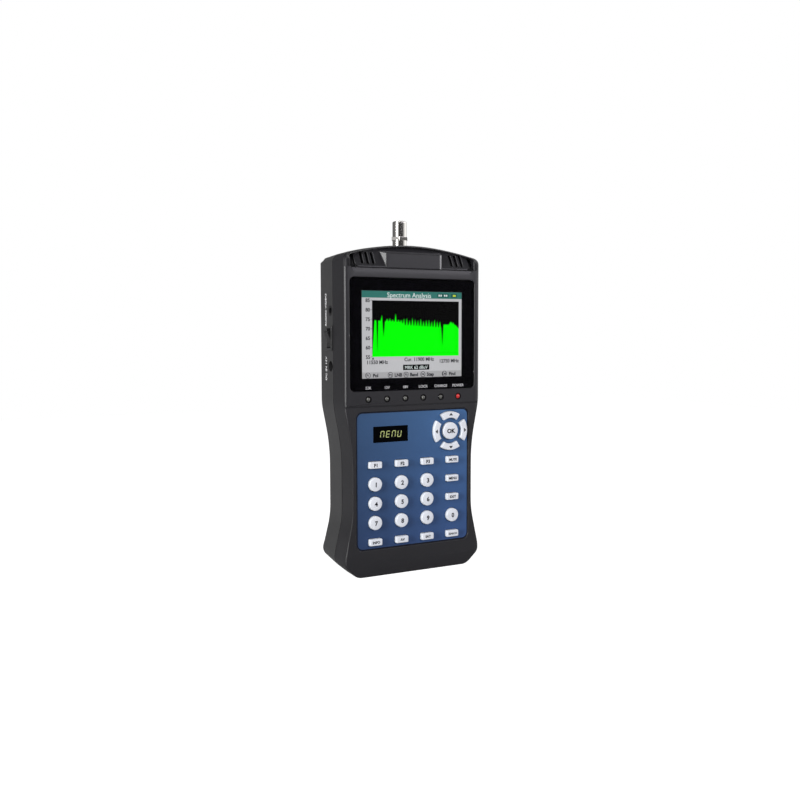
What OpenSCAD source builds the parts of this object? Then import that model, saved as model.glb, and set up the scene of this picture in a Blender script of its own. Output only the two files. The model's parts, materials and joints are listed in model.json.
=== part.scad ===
// Hand-held satellite signal meter: a waisted two-shell case with a colour display, a keypad of
// sprung keys, a row of lamps, a power rocker on its left side and a threaded coaxial socket on top.
// Millimetres. X runs across the front, Y from front to back, Z up from the flat foot.

/* [Case] */
// Width across the head and across the flared foot
body_w = 95.9; // [95:0.1:103]
// Width across the waist of the grip
waist_w = 85.4; // [84.6:0.1:91]
// Depth of the closed case
body_d = 37.2; // [36:0.1:44]
// Rise of the top edge above the shoulders
top_rise = 7.2; // [4:0.1:9]
// Radius of the shoulders
shoulder_r = 7; // [6:0.5:8.5]
// Width of the flat foot
foot_w = 79; // [74:0.5:84]
// Height of the bevels beside the foot
foot_bevel = 8.2; // [7:0.2:9]
// Height at which the flare starts to draw in
flare_z = 12.8; // [12:0.1:15]
// Height over which the flare draws in to the waist
flare_h = 24; // [18:1:28]
// Height over which the head draws in to the waist
head_taper = 26.5; // [20:0.5:32]
// Wall at the sides, the top and the back
wall = 2.2; // [1.8:0.1:2.6]
// Wall of the front face
face_t = 3; // [2.7:0.1:3.4]
// Depth of the front shell, from its face to the seam
front_d = 15; // [14.5:0.25:17]
// Radius of the front edge
front_round = 1.8; // [1.2:0.1:2.1]
// Radius of the back edge
back_round = 3.5; // [2.5:0.1:4]
// Width of the bevel on each side of the seam
seam_bevel = 0.3; // [0.1:0.05:0.5]
// Draft of the front shell's sides at the face
front_draft = 0.4; // [0.1:0.1:0.6]
// Draft of the back shell's sides at the back
back_draft = 0.8; // [0.2:0.1:1]
// How far the bevels beside the foot draw in from the front to the back
foot_draw = 3.6; // [0:0.1:4]
// Draw-in of the shoulders from the front to the back
shoulder_taper = 1.2; // [0:0.1:1.6]
// Setback of the grip's face behind the head's face
grip_step = 0.6; // [0.3:0.1:0.9]
// Setback of the chin at the foot behind the grip's face
chin_bevel = 1; // [0.4:0.1:1.4]

/* [Heights] */
// Foot to the keypad panel
chin_h = 17.05; // [15.5:0.05:20]
// Panel's lower edge to the lowest row of keys
key_margin = 4.5; // [4.3:0.1:7]
// Top row of keys to the middle of the arrow ring
nav_gap = 18.3; // [17.5:0.05:22]
// Arrow ring to the panel's upper edge
nav_margin = 1.55; // [0.8:0.05:4]
// Panel's upper edge to the lamps
led_gap = 7.9; // [7.4:0.1:10]
// Panel's upper edge to the step where the head begins
head_gap = 3.8; // [3:0.1:5]
// Lamps to the display window
window_gap = 5.1; // [4.5:0.1:8]
// Display window to the brow under the crown
brow_gap = 3.2; // [2:0.1:6]
// Height of the bevelled brow
brow_h = 2.9; // [1.5:0.1:3.5]
// Depth of the brow's bevel
brow_d = 0.7; // [0.4:0.1:1.1]
// Crown plate's lower edge to the top of the case
crown_h = 14.8; // [14:0.1:19]

/* [Display] */
// Width of the display window
window_w = 87.1; // [82:0.1:88]
// Height of the display window
window_h = 67.7; // [66:0.1:74]
// Corner radius of the display window
window_r = 3; // [1:0.5:5]
// Thickness of the window
lens_t = 1.3; // [1:0.1:1.4]
// Setback of the window behind the face
lens_drop = 0.2; // [0.1:0.05:0.4]
// Thickness of the window's gasket
gasket_t = 0.3; // [0.2:0.05:0.4]
// Width of the picture on the display
lcd_w = 70.08; // [66:0.02:72]
// Height of the picture on the display
lcd_h = 52.56; // [48:0.02:54]
// Width of the display module's frame
lcd_frame_w = 76.9; // [76:0.1:79]
// Height of the display module's frame
lcd_frame_h = 63.9; // [60:0.1:65]
// Drop of the picture's middle below the window's middle
lcd_drop = 0.1; // [0:0.1:0.8]
// Spacing of the lamps
led_pitch = 12.66; // [10:0.02:13]
// Diameter of a lamp
led_d = 3; // [2:0.1:4]

/* [Keypad] */
// Width of the keypad panel
panel_w = 79; // [78.6:0.1:80]
// Corner radius of the keypad panel
panel_r = 4; // [2:0.5:6]
// Thickness of the keypad panel
panel_t = 0.8; // [0.6:0.05:1]
// Setback of the panel behind the grip's face
panel_drop = 0.5; // [0.3:0.05:0.6]
// Spacing of the key columns
col_pitch = 18.2; // [17:0.1:18.6]
// Spacing of the key rows
row_pitch = 11.85; // [11.4:0.05:13]
// Diameter of a round key and width of a bar key
key_d = 8.45; // [7:0.05:9]
// Height of a bar key
bar_h = 4.1; // [3.5:0.1:6]
// Diameter of the middle key
ok_d = 10.7; // [9:0.1:10.9]
// Distance of the arrow ring from the middle of the panel
nav_x = 25.8; // [24:0.1:26.2]
// Inner radius of the arrow keys
nav_in = 8.2; // [7.5:0.05:8.4]
// Outer radius of the arrow keys
nav_r = 12.2; // [11.5:0.1:12.6]
// Half of the angle that an arrow key spans
nav_half = 33.5; // [26:0.5:35]
// Height of the keys above the panel
key_rise = 2.2; // [1.2:0.1:2.6]
// Travel of a key
key_travel = 1; // [0.6:0.1:1.4]
// Gap between a key and what it slides in
key_gap = 0.3; // [0.2:0.05:0.4]
// Width of a key's hidden flange
flange_out = 0.75; // [0.6:0.05:0.9]
// Width of the digit display
digit_w = 24.1; // [20:0.1:25]
// Height of the digit display
digit_h = 9.9; // [8:0.1:12]
// Distance of the digit display left of the panel's middle
digit_x = 16; // [15:0.1:18]

/* [Crown] */
// Width of the crown's recess
crown_w = 86.6; // [84:0.2:88]
// Depth of the crown's recess behind the face
crown_d = 1.8; // [1.2:0.1:1.9]
// Lean of the crown
crown_lean = 28; // [18:1:30]
// Setback of the upright rim along the top edge, behind the face
rim_set = 4.2; // [3:0.1:6]
// Height of the rim between the crown's recess and the top edge
rim_h = 1.6; // [1:0.1:2.2]
// Width of the gap on each side of the crown plate
crown_gap = 3.3; // [1.5:0.1:4]
// Height of the crown plate above the recess
plate_rise = 2.4; // [0.6:0.1:2.6]
// Width of the bare badge on the crown
badge_w = 38.8; // [30:0.2:42]
// Height of the bare badge
badge_h = 8.8; // [7:0.1:9.2]
// Distance of the innermost vent slot from the middle
vent_x = 27.4; // [26.5:0.1:29]
// Spacing of the vent slots
vent_pitch = 3.7; // [2.6:0.05:4]
// Width of a vent slot
vent_w = 1.7; // [1:0.1:2]
// Height of a vent slot
vent_h = 7.4; // [4:0.2:8]
// Crown plate's lower edge to the middle of the vent slots
vent_rise = 5.7; // [5:0.1:7]

/* [Left side] */
// Seam to the axis of the sockets
jack_setback = 3.9; // [3.7:0.1:5]
// Height of the sound and picture socket above the display's middle
av_rise = 14.6; // [13.5:0.1:20]
// Drop of the power socket below the display's middle
dc_drop = 19.1; // [16:0.1:22]
// Diameter of the sound and picture socket
av_d = 3.6; // [3:0.1:4]
// Diameter of the power socket's barrel
dc_d = 5.5; // [5:0.1:5.8]
// Diameter of the openings in the case for the sockets
jack_hole_d = 6.4; // [6.2:0.1:7]
// Seam to the middle of the rocker
rocker_setback = 5.1; // [5:0.1:9]
// Drop of the rocker below the display's middle
rocker_drop = 2.1; // [0:0.1:3]
// Height of the rocker's bezel
bezel_h = 15; // [14.5:0.1:17]
// Width of the rocker's bezel
bezel_w = 9.4; // [9:0.1:9.8]
// Lean of the rocker from its middle position
rocker_lean = 13; // [8:1:14]

/* [Aerial socket] */
// Seam to the axis of the aerial socket
aerial_setback = 3.8; // [3:0.1:8]
// Outer diameter of the aerial socket
aerial_d = 9.5; // [9:0.05:9.6]
// Height of the aerial socket above the case
aerial_rise = 16; // [14:0.1:20]
// Width of the hexagon across its flats
hex_w = 10.4; // [10:0.1:13]
// Height of the hexagon above the case
hex_rise = 3.8; // [3:0.1:6]
// Thickness of the hexagon
hex_t = 2.1; // [1.5:0.1:3]
// Diameter of the hole for the centre wire
centre_d = 1.3; // [1.1:0.1:1.6]

/* [Inside] */
// Thickness of the circuit boards
board_t = 1.6; // [1:0.1:1.8]
// Thickness of the keypad mat
mat_t = 1; // [0.6:0.1:1.2]
// Diameter of a battery cell
cell_d = 18.2; // [14:0.1:18.6]
// Length of a battery cell
cell_l = 66; // [50:1:68]
// Diameter of the case screws' shanks
screw_d = 2.5; // [2:0.1:2.8]
// Diameter of the board screws' shanks
board_screw_d = 2.3; // [2:0.1:2.4]
// Diameter of the speaker
speaker_d = 20; // [14:0.5:21]

/* [Hidden] */
$fn = 48;
// Small gap between pieces that sit in each other without moving
fit = 0.2;
// Gap between pieces that all but touch
snug = 0.05;
// How far a cutting shape runs past the surface that it opens
past = 1;
// Largest share of an edge that one of its corner blends may take
edge_share = 0.48;
// Radii of the case outline's blends, from the foot up
foot_r = 9;
flare_r = 18;
grip_low_r = 60;
grip_high_r = 120;
head_r = 40;
// Steps in which a lofted edge is rounded
round_steps = 4;

// Depths, from the front
face_y = -body_d / 2;
back_y = body_d / 2;
seam_y = face_y + front_d;
inner_y = face_y + face_t;
back_inner_y = back_y - wall;
grip_y = face_y + grip_step;
lens_y = face_y + lens_drop;
gasket_y = lens_y + lens_t;
window_seat_y = gasket_y + gasket_t;
panel_y = grip_y + panel_drop;
panel_seat_y = panel_y + panel_t;
flange_t = 0.8;
flange_y = inner_y + key_gap;
pill_h = 1.5;
key_board_y = flange_y + flange_t + pill_h + key_travel + snug;
mat_y = key_board_y - mat_t;
main_board_back = seam_y + key_gap;
main_board_y = main_board_back - board_t;
cavity_in = 0.6;

// Heights, from the foot
rows = 5;
cols = 4;
function row_z(row) = chin_h + key_margin + row * row_pitch;
nav_z = row_z(rows - 1) + nav_gap;
panel_top = nav_z + nav_r + nav_margin;
panel_h = panel_top - chin_h;
head_z = panel_top + head_gap;
led_z = panel_top + led_gap;
window_z = led_z + window_gap;
window_top = window_z + window_h;
lcd_z = window_z + window_h / 2 - lcd_drop;
brow_z = window_top + brow_gap;
crown_z = brow_z + brow_h;
body_h = crown_z + crown_h;
shoulder_z = body_h - top_rise;
top_r = (pow(body_w / 2, 2) + pow(top_rise, 2)) / (2 * top_rise);

// Display: how far the glass and the gasket's opening reach past the picture
glass_lap = 0.6;
gasket_lap = 0.4;

// Lamps
led_count = 6;
led_proud = 0.5;
led_rim = 0.4;
led_rim_t = 1;
led_lead = 0.5;
led_lead_gap = 2.54;
function led_x(i) = (i - (led_count - 1) / 2) * led_pitch;

// Posts and screws
post_r = 2.2;
post_clear = 0.6;
post_drop = 2;
boss_r = 2.8;
back_boss_r = 4.2;
boss_clear = 0.5;
case_head_lip = 1.35;
case_head_r = screw_d / 2 + case_head_lip;
case_head_t = 2.2;
board_head_lip = 1.15;
board_head_r = board_screw_d / 2 + board_head_lip;
board_head_t = 1.6;
board_screw_hole = board_screw_d / 2 + fit;
cross_l = 3;
cross_w = 0.8;
well_d = 10;
well_clear = 0.3;
well_r = case_head_r + well_clear;
well_y = back_y - well_d;
screw_bite = 8;
screw_tip_y = seam_y - screw_bite;
tip_clear = 0.8;
board_screw_tip_y = inner_y + tip_clear;
high_screw_inset = 8.9;
low_screw_inset = 3;
low_screw_drop = 5.2;
bar_reach = (cols - 1) / 2 * col_pitch + key_d / 2 + flange_out;
low_post = [bar_reach + post_r + post_clear, row_z(0) - post_drop];
mid_post_out = 1.95;
mid_post_drop = 4.5;
mid_post = [led_x(led_count - 1) + led_d / 2 + led_rim + mid_post_out, led_z - mid_post_drop];
high_screw_x = body_w / 2 - high_screw_inset;
top_post = [high_screw_x - back_boss_r - boss_clear - board_head_r - post_clear,
            lcd_z + lcd_frame_h / 2 + post_r + post_clear];
high_screw = [high_screw_x, top_post.y + boss_r];
low_screw = [foot_w / 2 - low_screw_inset, chin_h - low_screw_drop];

// Boards
board_gap = 1.9;
board_corner = 3;
board_half = waist_w / 2 - wall - cavity_in - board_gap;
board_low = low_screw.y + boss_r + 2 * boss_clear;
board_top = top_post.y + boss_r;
notch_half = high_screw.x - back_boss_r - boss_clear;
notch_z = high_screw.y - back_boss_r - boss_clear;
main_board_drop = 9;
main_board_low = mid_post.y - main_board_drop;
spacer_r = 2.5;
header_w = 25.4;
header_h = 5;
speaker_t = 5.5;
speaker_gap = 1;

// Left side
side_x = -body_w / 2;
jack_y = seam_y + jack_setback;
av_z = lcd_z + av_rise;
dc_z = lcd_z - dc_drop;
rocker_y = seam_y + rocker_setback;
rocker_z = lcd_z - rocker_drop;
bezel_t = 0.8;
bezel_rim = 1.5;
bezel_lap = 1;
housing_wall = 0.8;
housing_h = bezel_h - 2 * bezel_lap;
housing_w = bezel_w - 2 * bezel_lap;
housing_d = 11;
slot_h = bezel_h - 2 * bezel_rim;
slot_w = housing_w - 2 * housing_wall;
slot_d = 6;
pivot_in = 1.1;
pivot_x = side_x + pivot_in;
pivot_r = 0.8;
pivot_clear = 0.05;
rocker_end_gap = 1;
rocker_proud = 1;
rocker_dish = 0.8;
rocker_edge = 0.45;
rocker_keel = 3;
jack_l = 12;
jack_end = 1;
jack_wall = side_x + wall + back_draft + fit;
jack_half = 4.5;
av_half = 3.2;
jack_top = jack_y + jack_setback - key_gap;
dc_mouth = 1.8;
dc_mouth_lip = 0.25;
dc_pin_r = 1.05;
dc_pin_drop = 0.4;

// Aerial socket
aerial_y = seam_y + aerial_setback;
aerial_top = body_h + aerial_rise;
hex_z = body_h + hex_rise;
barrel_wall = 1.35;
barrel_round = 0.8;
insulator_r = aerial_d / 2 - barrel_wall;
insulator_t = 3;
contact_r = 1.3;
contact_l = 12;
tuner_half = 17;
tuner_d = 12;
tuner_h = 44;
tuner_top = board_top + fit;

// Battery
cell_y = back_inner_y - cell_d / 2 - fit;
cell_gap = 9;
cell_z = board_low + cell_gap;
rib_t = 1.2;
rib_h = cell_d / 2;

// Keys: name, shape, column, row from the bottom
GRID = [
    ["key_f1", "bar", 0, 4], ["key_f2", "bar", 1, 4], ["key_f3", "bar", 2, 4], ["key_mute", "bar", 3, 4],
    ["key_1", "dot", 0, 3], ["key_2", "dot", 1, 3], ["key_3", "dot", 2, 3], ["key_menu", "bar", 3, 3],
    ["key_4", "dot", 0, 2], ["key_5", "dot", 1, 2], ["key_6", "dot", 2, 2], ["key_exit", "bar", 3, 2],
    ["key_7", "dot", 0, 1], ["key_8", "dot", 1, 1], ["key_9", "dot", 2, 1], ["key_0", "dot", 3, 1],
    ["key_info", "bar", 0, 0], ["key_av", "bar", 1, 0], ["key_sat", "bar", 2, 0], ["key_search", "bar", 3, 0]
];
// Arrow keys: name, turn from pointing up
ARROWS = [["key_up", 0], ["key_right", 90], ["key_down", 180], ["key_left", 270]];
// All keys: name, shape, x, z, turn
KEYS = concat(
    [for (k = GRID) [k[0], k[1], (k[2] - (cols - 1) / 2) * col_pitch, row_z(k[3]), 0]],
    [for (k = ARROWS) [k[0], "arc", nav_x, nav_z, k[1]]],
    [["key_ok", "ok", nav_x, nav_z, 0]]
);

// Vectors and outlines

function unit(v) = v / norm(v);

// One blended corner of an outline that runs anticlockwise, as pairs of a point and its outward normal
function blend(a, b, c, r, steps) =
    let (
        back = unit(a - b),
        ahead = unit(c - b),
        half = acos(back * ahead) / 2,
        reach = min(r / tan(half), edge_share * min(norm(a - b), norm(c - b))),
        arc_r = reach * tan(half),
        side = cross(b - a, c - b) > 0 ? 1 : -1,
        hub = b + unit(back + ahead) * arc_r / sin(half),
        start = b + back * reach - hub,
        from = atan2(start.y, start.x)
    )
    [for (i = [0:steps])
        let (angle = from + side * (180 - 2 * half) * i / steps, way = [cos(angle), sin(angle)])
        [hub + arc_r * way, side * way]];

// Blends every corner [x, z, radius, steps] of a chain between two end points
function blend_chain(corners, before, after) =
    [for (i = [0:len(corners) - 1])
        let (
            here = corners[i],
            a = i == 0 ? before : [corners[i - 1].x, corners[i - 1].y],
            c = i == len(corners) - 1 ? after : [corners[i + 1].x, corners[i + 1].y]
        )
        each blend(a, [here.x, here.y], c, here[2], here[3])];

// A right half from the bottom up, followed by its mirror image from the top down
function both_sides(right) =
    concat(right, [for (i = [len(right) - 1:-1:0])
        [[-right[i][0].x, right[i][0].y], [-right[i][1].x, right[i][1].y]]]);

// Front view of the case, at a share of its depth
top_steps = 8;
top_angle = asin((body_w / 2 - 1.5 * shoulder_r) / top_r);
top_arc = [for (i = [0:top_steps - 1])
    let (angle = top_angle * (1 - i / (top_steps - 0.5)), way = [sin(angle), cos(angle)])
    [[0, body_h - top_r] + top_r * way, way]];
function grip_corners(share) = [
    [foot_w / 2 - share * foot_draw, 0, foot_r, 5],
    [body_w / 2, foot_bevel + share * foot_draw, foot_r, 5],
    [body_w / 2, flare_z + share * foot_draw, flare_r, 3],
    [waist_w / 2, flare_z + flare_h, grip_low_r, 4],
    [waist_w / 2, head_z - head_taper, grip_high_r, 6],
    [body_w / 2, head_z, head_r, 4]
];
shoulder = [body_w / 2, shoulder_z, shoulder_r, 8];
function case_outline(share) = both_sides(concat(
    blend_chain(grip_corners(share), [-foot_w / 2, 0], [shoulder.x, shoulder.y]),
    [[[body_w / 2, crown_z], [1, 0]]],
    blend_chain([shoulder], [body_w / 2, crown_z], top_arc[0][0]),
    top_arc));

// Share of the crown's lean that the case's edge takes: none at the sides, more towards the middle
lean_power = 4;
function lean_share(x) = 1 - pow(abs(x) / (body_w / 2), lean_power);

// Draw-in of the shoulders at a share of the depth: most where their outward direction is diagonal
function taper(way, share) = 2 * abs(way.x) * max(way.y, 0) * shoulder_taper * share;

// One ring of the case at depth y, drawn in all round by inset, at the sides and top by draft and at the
// shoulders by their taper, and leaning back from the crown's foot up to the rim
function case_ring(inset, draft, y, lean = 0) =
    let (share = (y - face_y) / body_d)
    [for (p = case_outline(share))
        let (
            way = p[1],
            drawn = inset + taper(way, share),
            z = p[0].y - drawn * way.y - draft * max(way.y, 0),
            setback = min(max(z - crown_z, 0) * tan(lean), rim_set) * lean_share(p[0].x)
        )
        [p[0].x - (drawn + draft) * way.x, y + setback, z]];

// Outline of a bar key, grown all round
bar_r = 0.7;
bar_least_r = 0.2;
function bar_points(grow) =
    let (w = key_d / 2 + grow, h = bar_h / 2 + grow, r = max(bar_r + grow, bar_least_r))
    [for (p = both_sides(blend_chain([[w, -h, r, 3], [w, h, r, 3]], [-w, -h], [-w, h]))) p[0]];

// Outline of the upward arrow key, grown all round
arc_steps = 10;
function arc_points(grow) =
    let (
        outer = nav_r + grow,
        inner = nav_in - grow,
        outer_half = nav_half + asin(grow / outer),
        inner_half = nav_half + asin(grow / inner)
    )
    concat(
        [for (i = [0:arc_steps]) let (a = outer_half * (1 - 2 * i / arc_steps)) outer * [sin(a), cos(a)]],
        [for (i = [0:arc_steps]) let (a = inner_half * (2 * i / arc_steps - 1)) inner * [sin(a), cos(a)]]
    );

function key_points(shape, grow) = shape == "bar" ? bar_points(grow) : arc_points(grow);

// Shared shapes

// A solid through rings of equal count, whose caps join each point to its partner from the other end
module loft(rings) {
    n = len(rings[0]);
    last = len(rings) - 1;
    function at(ring, i) = ring * n + i % n;
    sides = [for (r = [0:last - 1], i = [0:n - 1]) each [
        [at(r, i), at(r, i + 1), at(r + 1, i + 1)],
        [at(r, i), at(r + 1, i + 1), at(r + 1, i)]]];
    front = [for (i = [0:n / 2 - 2]) each [
        [at(0, i), at(0, n - 1 - i), at(0, n - 2 - i)],
        [at(0, i), at(0, n - 2 - i), at(0, i + 1)]]];
    back = [for (i = [0:n / 2 - 2]) each [
        [at(last, i), at(last, n - 2 - i), at(last, n - 1 - i)],
        [at(last, i), at(last, i + 1), at(last, n - 2 - i)]]];
    polyhedron(points = [for (ring = rings) each ring], faces = concat(sides, front, back));
}

// Extrudes a front view between two depths
module plate(y0, y1) {
    translate([0, y1, 0]) rotate([90, 0, 0]) linear_extrude(y1 - y0) children();
}

// Extrudes a side view, drawn as depth and height, between two places across the width
module across(x0, x1) {
    translate([x0, 0, 0]) rotate([90, 0, 90]) linear_extrude(x1 - x0) children();
}

// A round bar along the depth
module rod_y(at, r, y0, y1) {
    translate([at.x, y1, at.y]) rotate([90, 0, 0]) cylinder(r = r, h = y1 - y0);
}

// A round bar along the width, at a depth and height
module rod_x(at, r, x0, x1) {
    translate([x0, at.x, at.y]) rotate([0, 90, 0]) cylinder(r = r, h = x1 - x0);
}

// A box between two corners
module block(low, high) {
    translate(low) cube(high - low);
}

module rounded_rect(w, h, r) {
    square([w, h - 2 * r], center = true);
    square([w - 2 * r, h], center = true);
    for (x = [-1, 1], z = [-1, 1]) translate([x * (w / 2 - r), z * (h / 2 - r)]) circle(r);
}

// Repeats on the left and the right of the middle
module both(at) {
    for (s = [-1, 1]) translate([s * at.x, 0, at.y]) children();
}

module at_key(k) {
    translate([k[2], 0, k[3]]) rotate([0, k[4], 0]) children();
}

// Front view of a key, grown all round
module key_shape(shape, grow) {
    if (shape == "dot") circle(d = key_d + 2 * grow);
    else if (shape == "ok") circle(d = ok_d + 2 * grow);
    else polygon(key_points(shape, grow));
}

module at_window() {
    translate([0, window_z + window_h / 2]) children();
}

module at_panel() {
    translate([0, chin_h + panel_h / 2]) children();
}

module at_digits() {
    translate([-digit_x, nav_z]) children();
}

// Case shells

front_rings = concat(
    [for (i = [0:round_steps]) let (t = 90 * i / round_steps)
        case_ring(front_round * (1 - sin(t)), front_draft, face_y + front_round * (1 - cos(t)), crown_lean)],
    [case_ring(0, 0, seam_y - seam_bevel), case_ring(seam_bevel, 0, seam_y)]
);
rear_rings = concat(
    [case_ring(seam_bevel, 0, seam_y), case_ring(0, 0, seam_y + seam_bevel)],
    [for (i = [0:round_steps]) let (t = 90 * i / round_steps)
        case_ring(back_round * (1 - cos(t)), back_draft, back_y - back_round * (1 - sin(t)))]
);

// Depth of the crown's recess at a height above its lower edge
function crown_y(rise) = face_y + crown_d + rise * tan(crown_lean);

crown_over = crown_h + 2 * past;
plate_bevel = 2;

// Front view of the crown's recess or plate, with its two bevelled lower corners
module crown_front(half, low, bevel) {
    polygon([
        [-half, low + bevel], [bevel - half, low], [half - bevel, low], [half, low + bevel],
        [half, crown_z + crown_over], [-half, crown_z + crown_over]]);
}

module crown_plate() {
    half = crown_w / 2 - crown_gap;
    intersection() {
        across(-half, half) polygon([
            [crown_y(0) - plate_rise, crown_z], [crown_y(crown_over) - plate_rise, crown_z + crown_over],
            [crown_y(crown_over) + past, crown_z + crown_over], [crown_y(0) + past, crown_z]]);
        plate(face_y - past, seam_y) crown_front(half, crown_z, plate_bevel);
    }
}

// The badge stands upright from the plate's lower edge, with flat bevels and slants at its ends and top
module crown_badge() {
    end_slope = 0.4;
    end_w = 2;
    end_drop = 0.4;
    sunk = 0.5;
    top_bevel = 2.4;
    front = crown_y(0) - plate_rise;
    half = badge_w / 2;
    rise = badge_h + top_bevel;
    deep = crown_y(rise) + sunk;
    foot_half = half + (deep - front) * end_slope;
    intersection() {
        across(-body_w / 2, body_w / 2) polygon([
            [front, crown_z], [crown_y(0) + sunk, crown_z],
            [deep, crown_z + rise], [front, crown_z + badge_h]]);
        translate([0, 0, crown_z]) linear_extrude(crown_h)
            polygon([
                [-half, front + end_drop], [end_w - half, front], [half - end_w, front],
                [half, front + end_drop], [foot_half, deep], [-foot_half, deep]]);
    }
}

// What the crown takes away from the front shell
module crown_cut() {
    slant = brow_h / brow_d;
    ledge = 0.4;
    difference() {
        intersection() {
            across(-crown_w / 2, crown_w / 2) polygon([
                [face_y - past, brow_z - past * slant], [face_y + brow_d, crown_z],
                [crown_y(ledge), crown_z + ledge], [crown_y(crown_over), crown_z + crown_over],
                [face_y - past, crown_z + crown_over]]);
            plate(face_y - 2 * past, seam_y) crown_front(crown_w / 2, brow_z, crown_gap);
            plate(face_y - 2 * past, seam_y) polygon([for (p = case_outline(0)) p[0] - rim_h * p[1]]);
        }
        crown_plate();
    }
}

module front_cavity() {
    difference() {
        loft([case_ring(wall + cavity_in, 0, inner_y), case_ring(wall, 0, seam_y + past)]);
        across(-body_w, body_w) polygon([
            [inner_y - past, crown_z], [crown_y(0) + wall, crown_z],
            [crown_y(crown_over) + wall, crown_z + crown_over], [inner_y - past, crown_z + crown_over]]);
    }
}

// Steps the grip's face back and bevels the chin
module face_cut() {
    across(-body_w, body_w) polygon([
        [face_y - past, -past], [grip_y + chin_bevel, -past], [grip_y + chin_bevel, 0],
        [grip_y, foot_bevel], [grip_y, head_z - grip_step], [face_y, head_z], [face_y - past, head_z]]);
}

module vent_slots() {
    for (s = [-1, 1], i = [0:2]) translate([s * (vent_x + i * vent_pitch), 0, crown_z + vent_rise])
        plate(face_y - past, seam_y - past) {
            square([vent_w, vent_h - vent_w], center = true);
            for (end = [-1, 1]) translate([0, end * (vent_h - vent_w) / 2]) circle(d = vent_w);
        }
}

module front_openings() {
    plate(face_y - past, window_seat_y) at_window()
        rounded_rect(window_w + 2 * fit, window_h + 2 * fit, window_r);
    plate(face_y - past, inner_y + past) translate([0, lcd_z])
        square([lcd_w + 2 * glass_lap + 2 * fit, lcd_h + 2 * glass_lap + 2 * fit], center = true);
    plate(face_y - past, panel_seat_y) at_panel()
        rounded_rect(panel_w + 2 * fit, panel_h + 2 * fit, panel_r);
    plate(face_y - past, inner_y + past) at_digits() square([digit_w, digit_h], center = true);
    for (k = KEYS) at_key(k) plate(face_y - past, inner_y + past) key_shape(k[1], key_gap);
    for (i = [0:led_count - 1]) rod_y([led_x(i), led_z], led_d / 2 + fit / 2, face_y - past, inner_y + past);
}

module aerial_hole() {
    translate([0, aerial_y, tuner_top]) cylinder(d = aerial_d + 2 * fit, h = body_h);
}

module front_case() {
    color("#3b3a3e") difference() {
        union() {
            difference() {
                loft(front_rings);
                front_cavity();
                face_cut();
                crown_cut();
            }
            crown_badge();
            for (p = [low_post, mid_post, top_post]) both(p) rod_y([0, 0], post_r, inner_y - past, key_board_y);
            for (p = [low_screw, high_screw]) both(p) rod_y([0, 0], boss_r, inner_y - past, seam_y);
        }
        vent_slots();
        front_openings();
        aerial_hole();
        for (p = [low_post, mid_post, top_post]) both(p)
            rod_y([0, 0], board_screw_d / 2 + snug, board_screw_tip_y - fit, key_board_y + past);
        for (p = [low_screw, high_screw]) both(p)
            rod_y([0, 0], screw_d / 2 + snug, screw_tip_y - fit, seam_y + past);
    }
}

module battery_cradle() {
    half = cell_d + fit + rib_t;
    difference() {
        block([-half, back_inner_y - rib_h, cell_z - fit - rib_t],
              [half, back_inner_y + past, cell_z + cell_l + fit + rib_t]);
        block([rib_t - half, back_inner_y - rib_h - past, cell_z - fit],
              [half - rib_t, back_inner_y + 2 * past, cell_z + cell_l + fit]);
    }
}

module rear_case() {
    color("#4a4a4c") difference() {
        union() {
            difference() {
                loft(rear_rings);
                loft([case_ring(wall, 0, seam_y - past), case_ring(wall + back_draft, 0, back_inner_y - wall),
                      case_ring(wall + back_round / 2, 0, back_inner_y)]);
            }
            for (p = [low_screw, high_screw]) both(p) rod_y([0, 0], back_boss_r, seam_y, back_inner_y + past);
            battery_cradle();
        }
        for (p = [low_screw, high_screw]) both(p) {
            rod_y([0, 0], screw_d / 2 + fit, seam_y - past, back_y + past);
            rod_y([0, 0], well_r, well_y, back_y + past);
        }
        aerial_hole();
        for (z = [av_z, dc_z]) rod_x([jack_y, z], jack_hole_d / 2, side_x - past, jack_wall + past);
        block([side_x - past, rocker_y - housing_w / 2 - fit, rocker_z - housing_h / 2 - fit],
              [jack_wall + past, rocker_y + housing_w / 2 + fit, rocker_z + housing_h / 2 + fit]);
    }
}

module case_screws() {
    color("#8d8f92") for (p = [low_screw, high_screw]) both(p) difference() {
        union() {
            rod_y([0, 0], screw_d / 2, screw_tip_y, well_y);
            rod_y([0, 0], case_head_r, well_y, well_y + case_head_t);
        }
        for (turn = [0, 90]) rotate([0, turn, 0])
            block([-cross_l / 2, well_y + case_head_t / 2, -cross_w / 2],
                  [cross_l / 2, back_y, cross_w / 2]);
    }
}

// Display

module display_window() {
    color("#0a0a12", 0.5) plate(lens_y, gasket_y) at_window() rounded_rect(window_w, window_h, window_r - fit);
}

module window_gasket() {
    color("#050508") plate(gasket_y, window_seat_y) difference() {
        at_window() rounded_rect(window_w, window_h, window_r - fit);
        translate([0, lcd_z]) square([lcd_w + 2 * gasket_lap, lcd_h + 2 * gasket_lap], center = true);
    }
}

module lcd_module() {
    color("#c4c4c4") translate([0, 0, lcd_z]) {
        plate(window_seat_y + fit, inner_y + fit)
            square([lcd_w + 2 * glass_lap, lcd_h + 2 * glass_lap], center = true);
        plate(inner_y + fit / 2, key_board_y - snug)
            square([lcd_frame_w, lcd_frame_h], center = true);
    }
}

// Lamps

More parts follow.
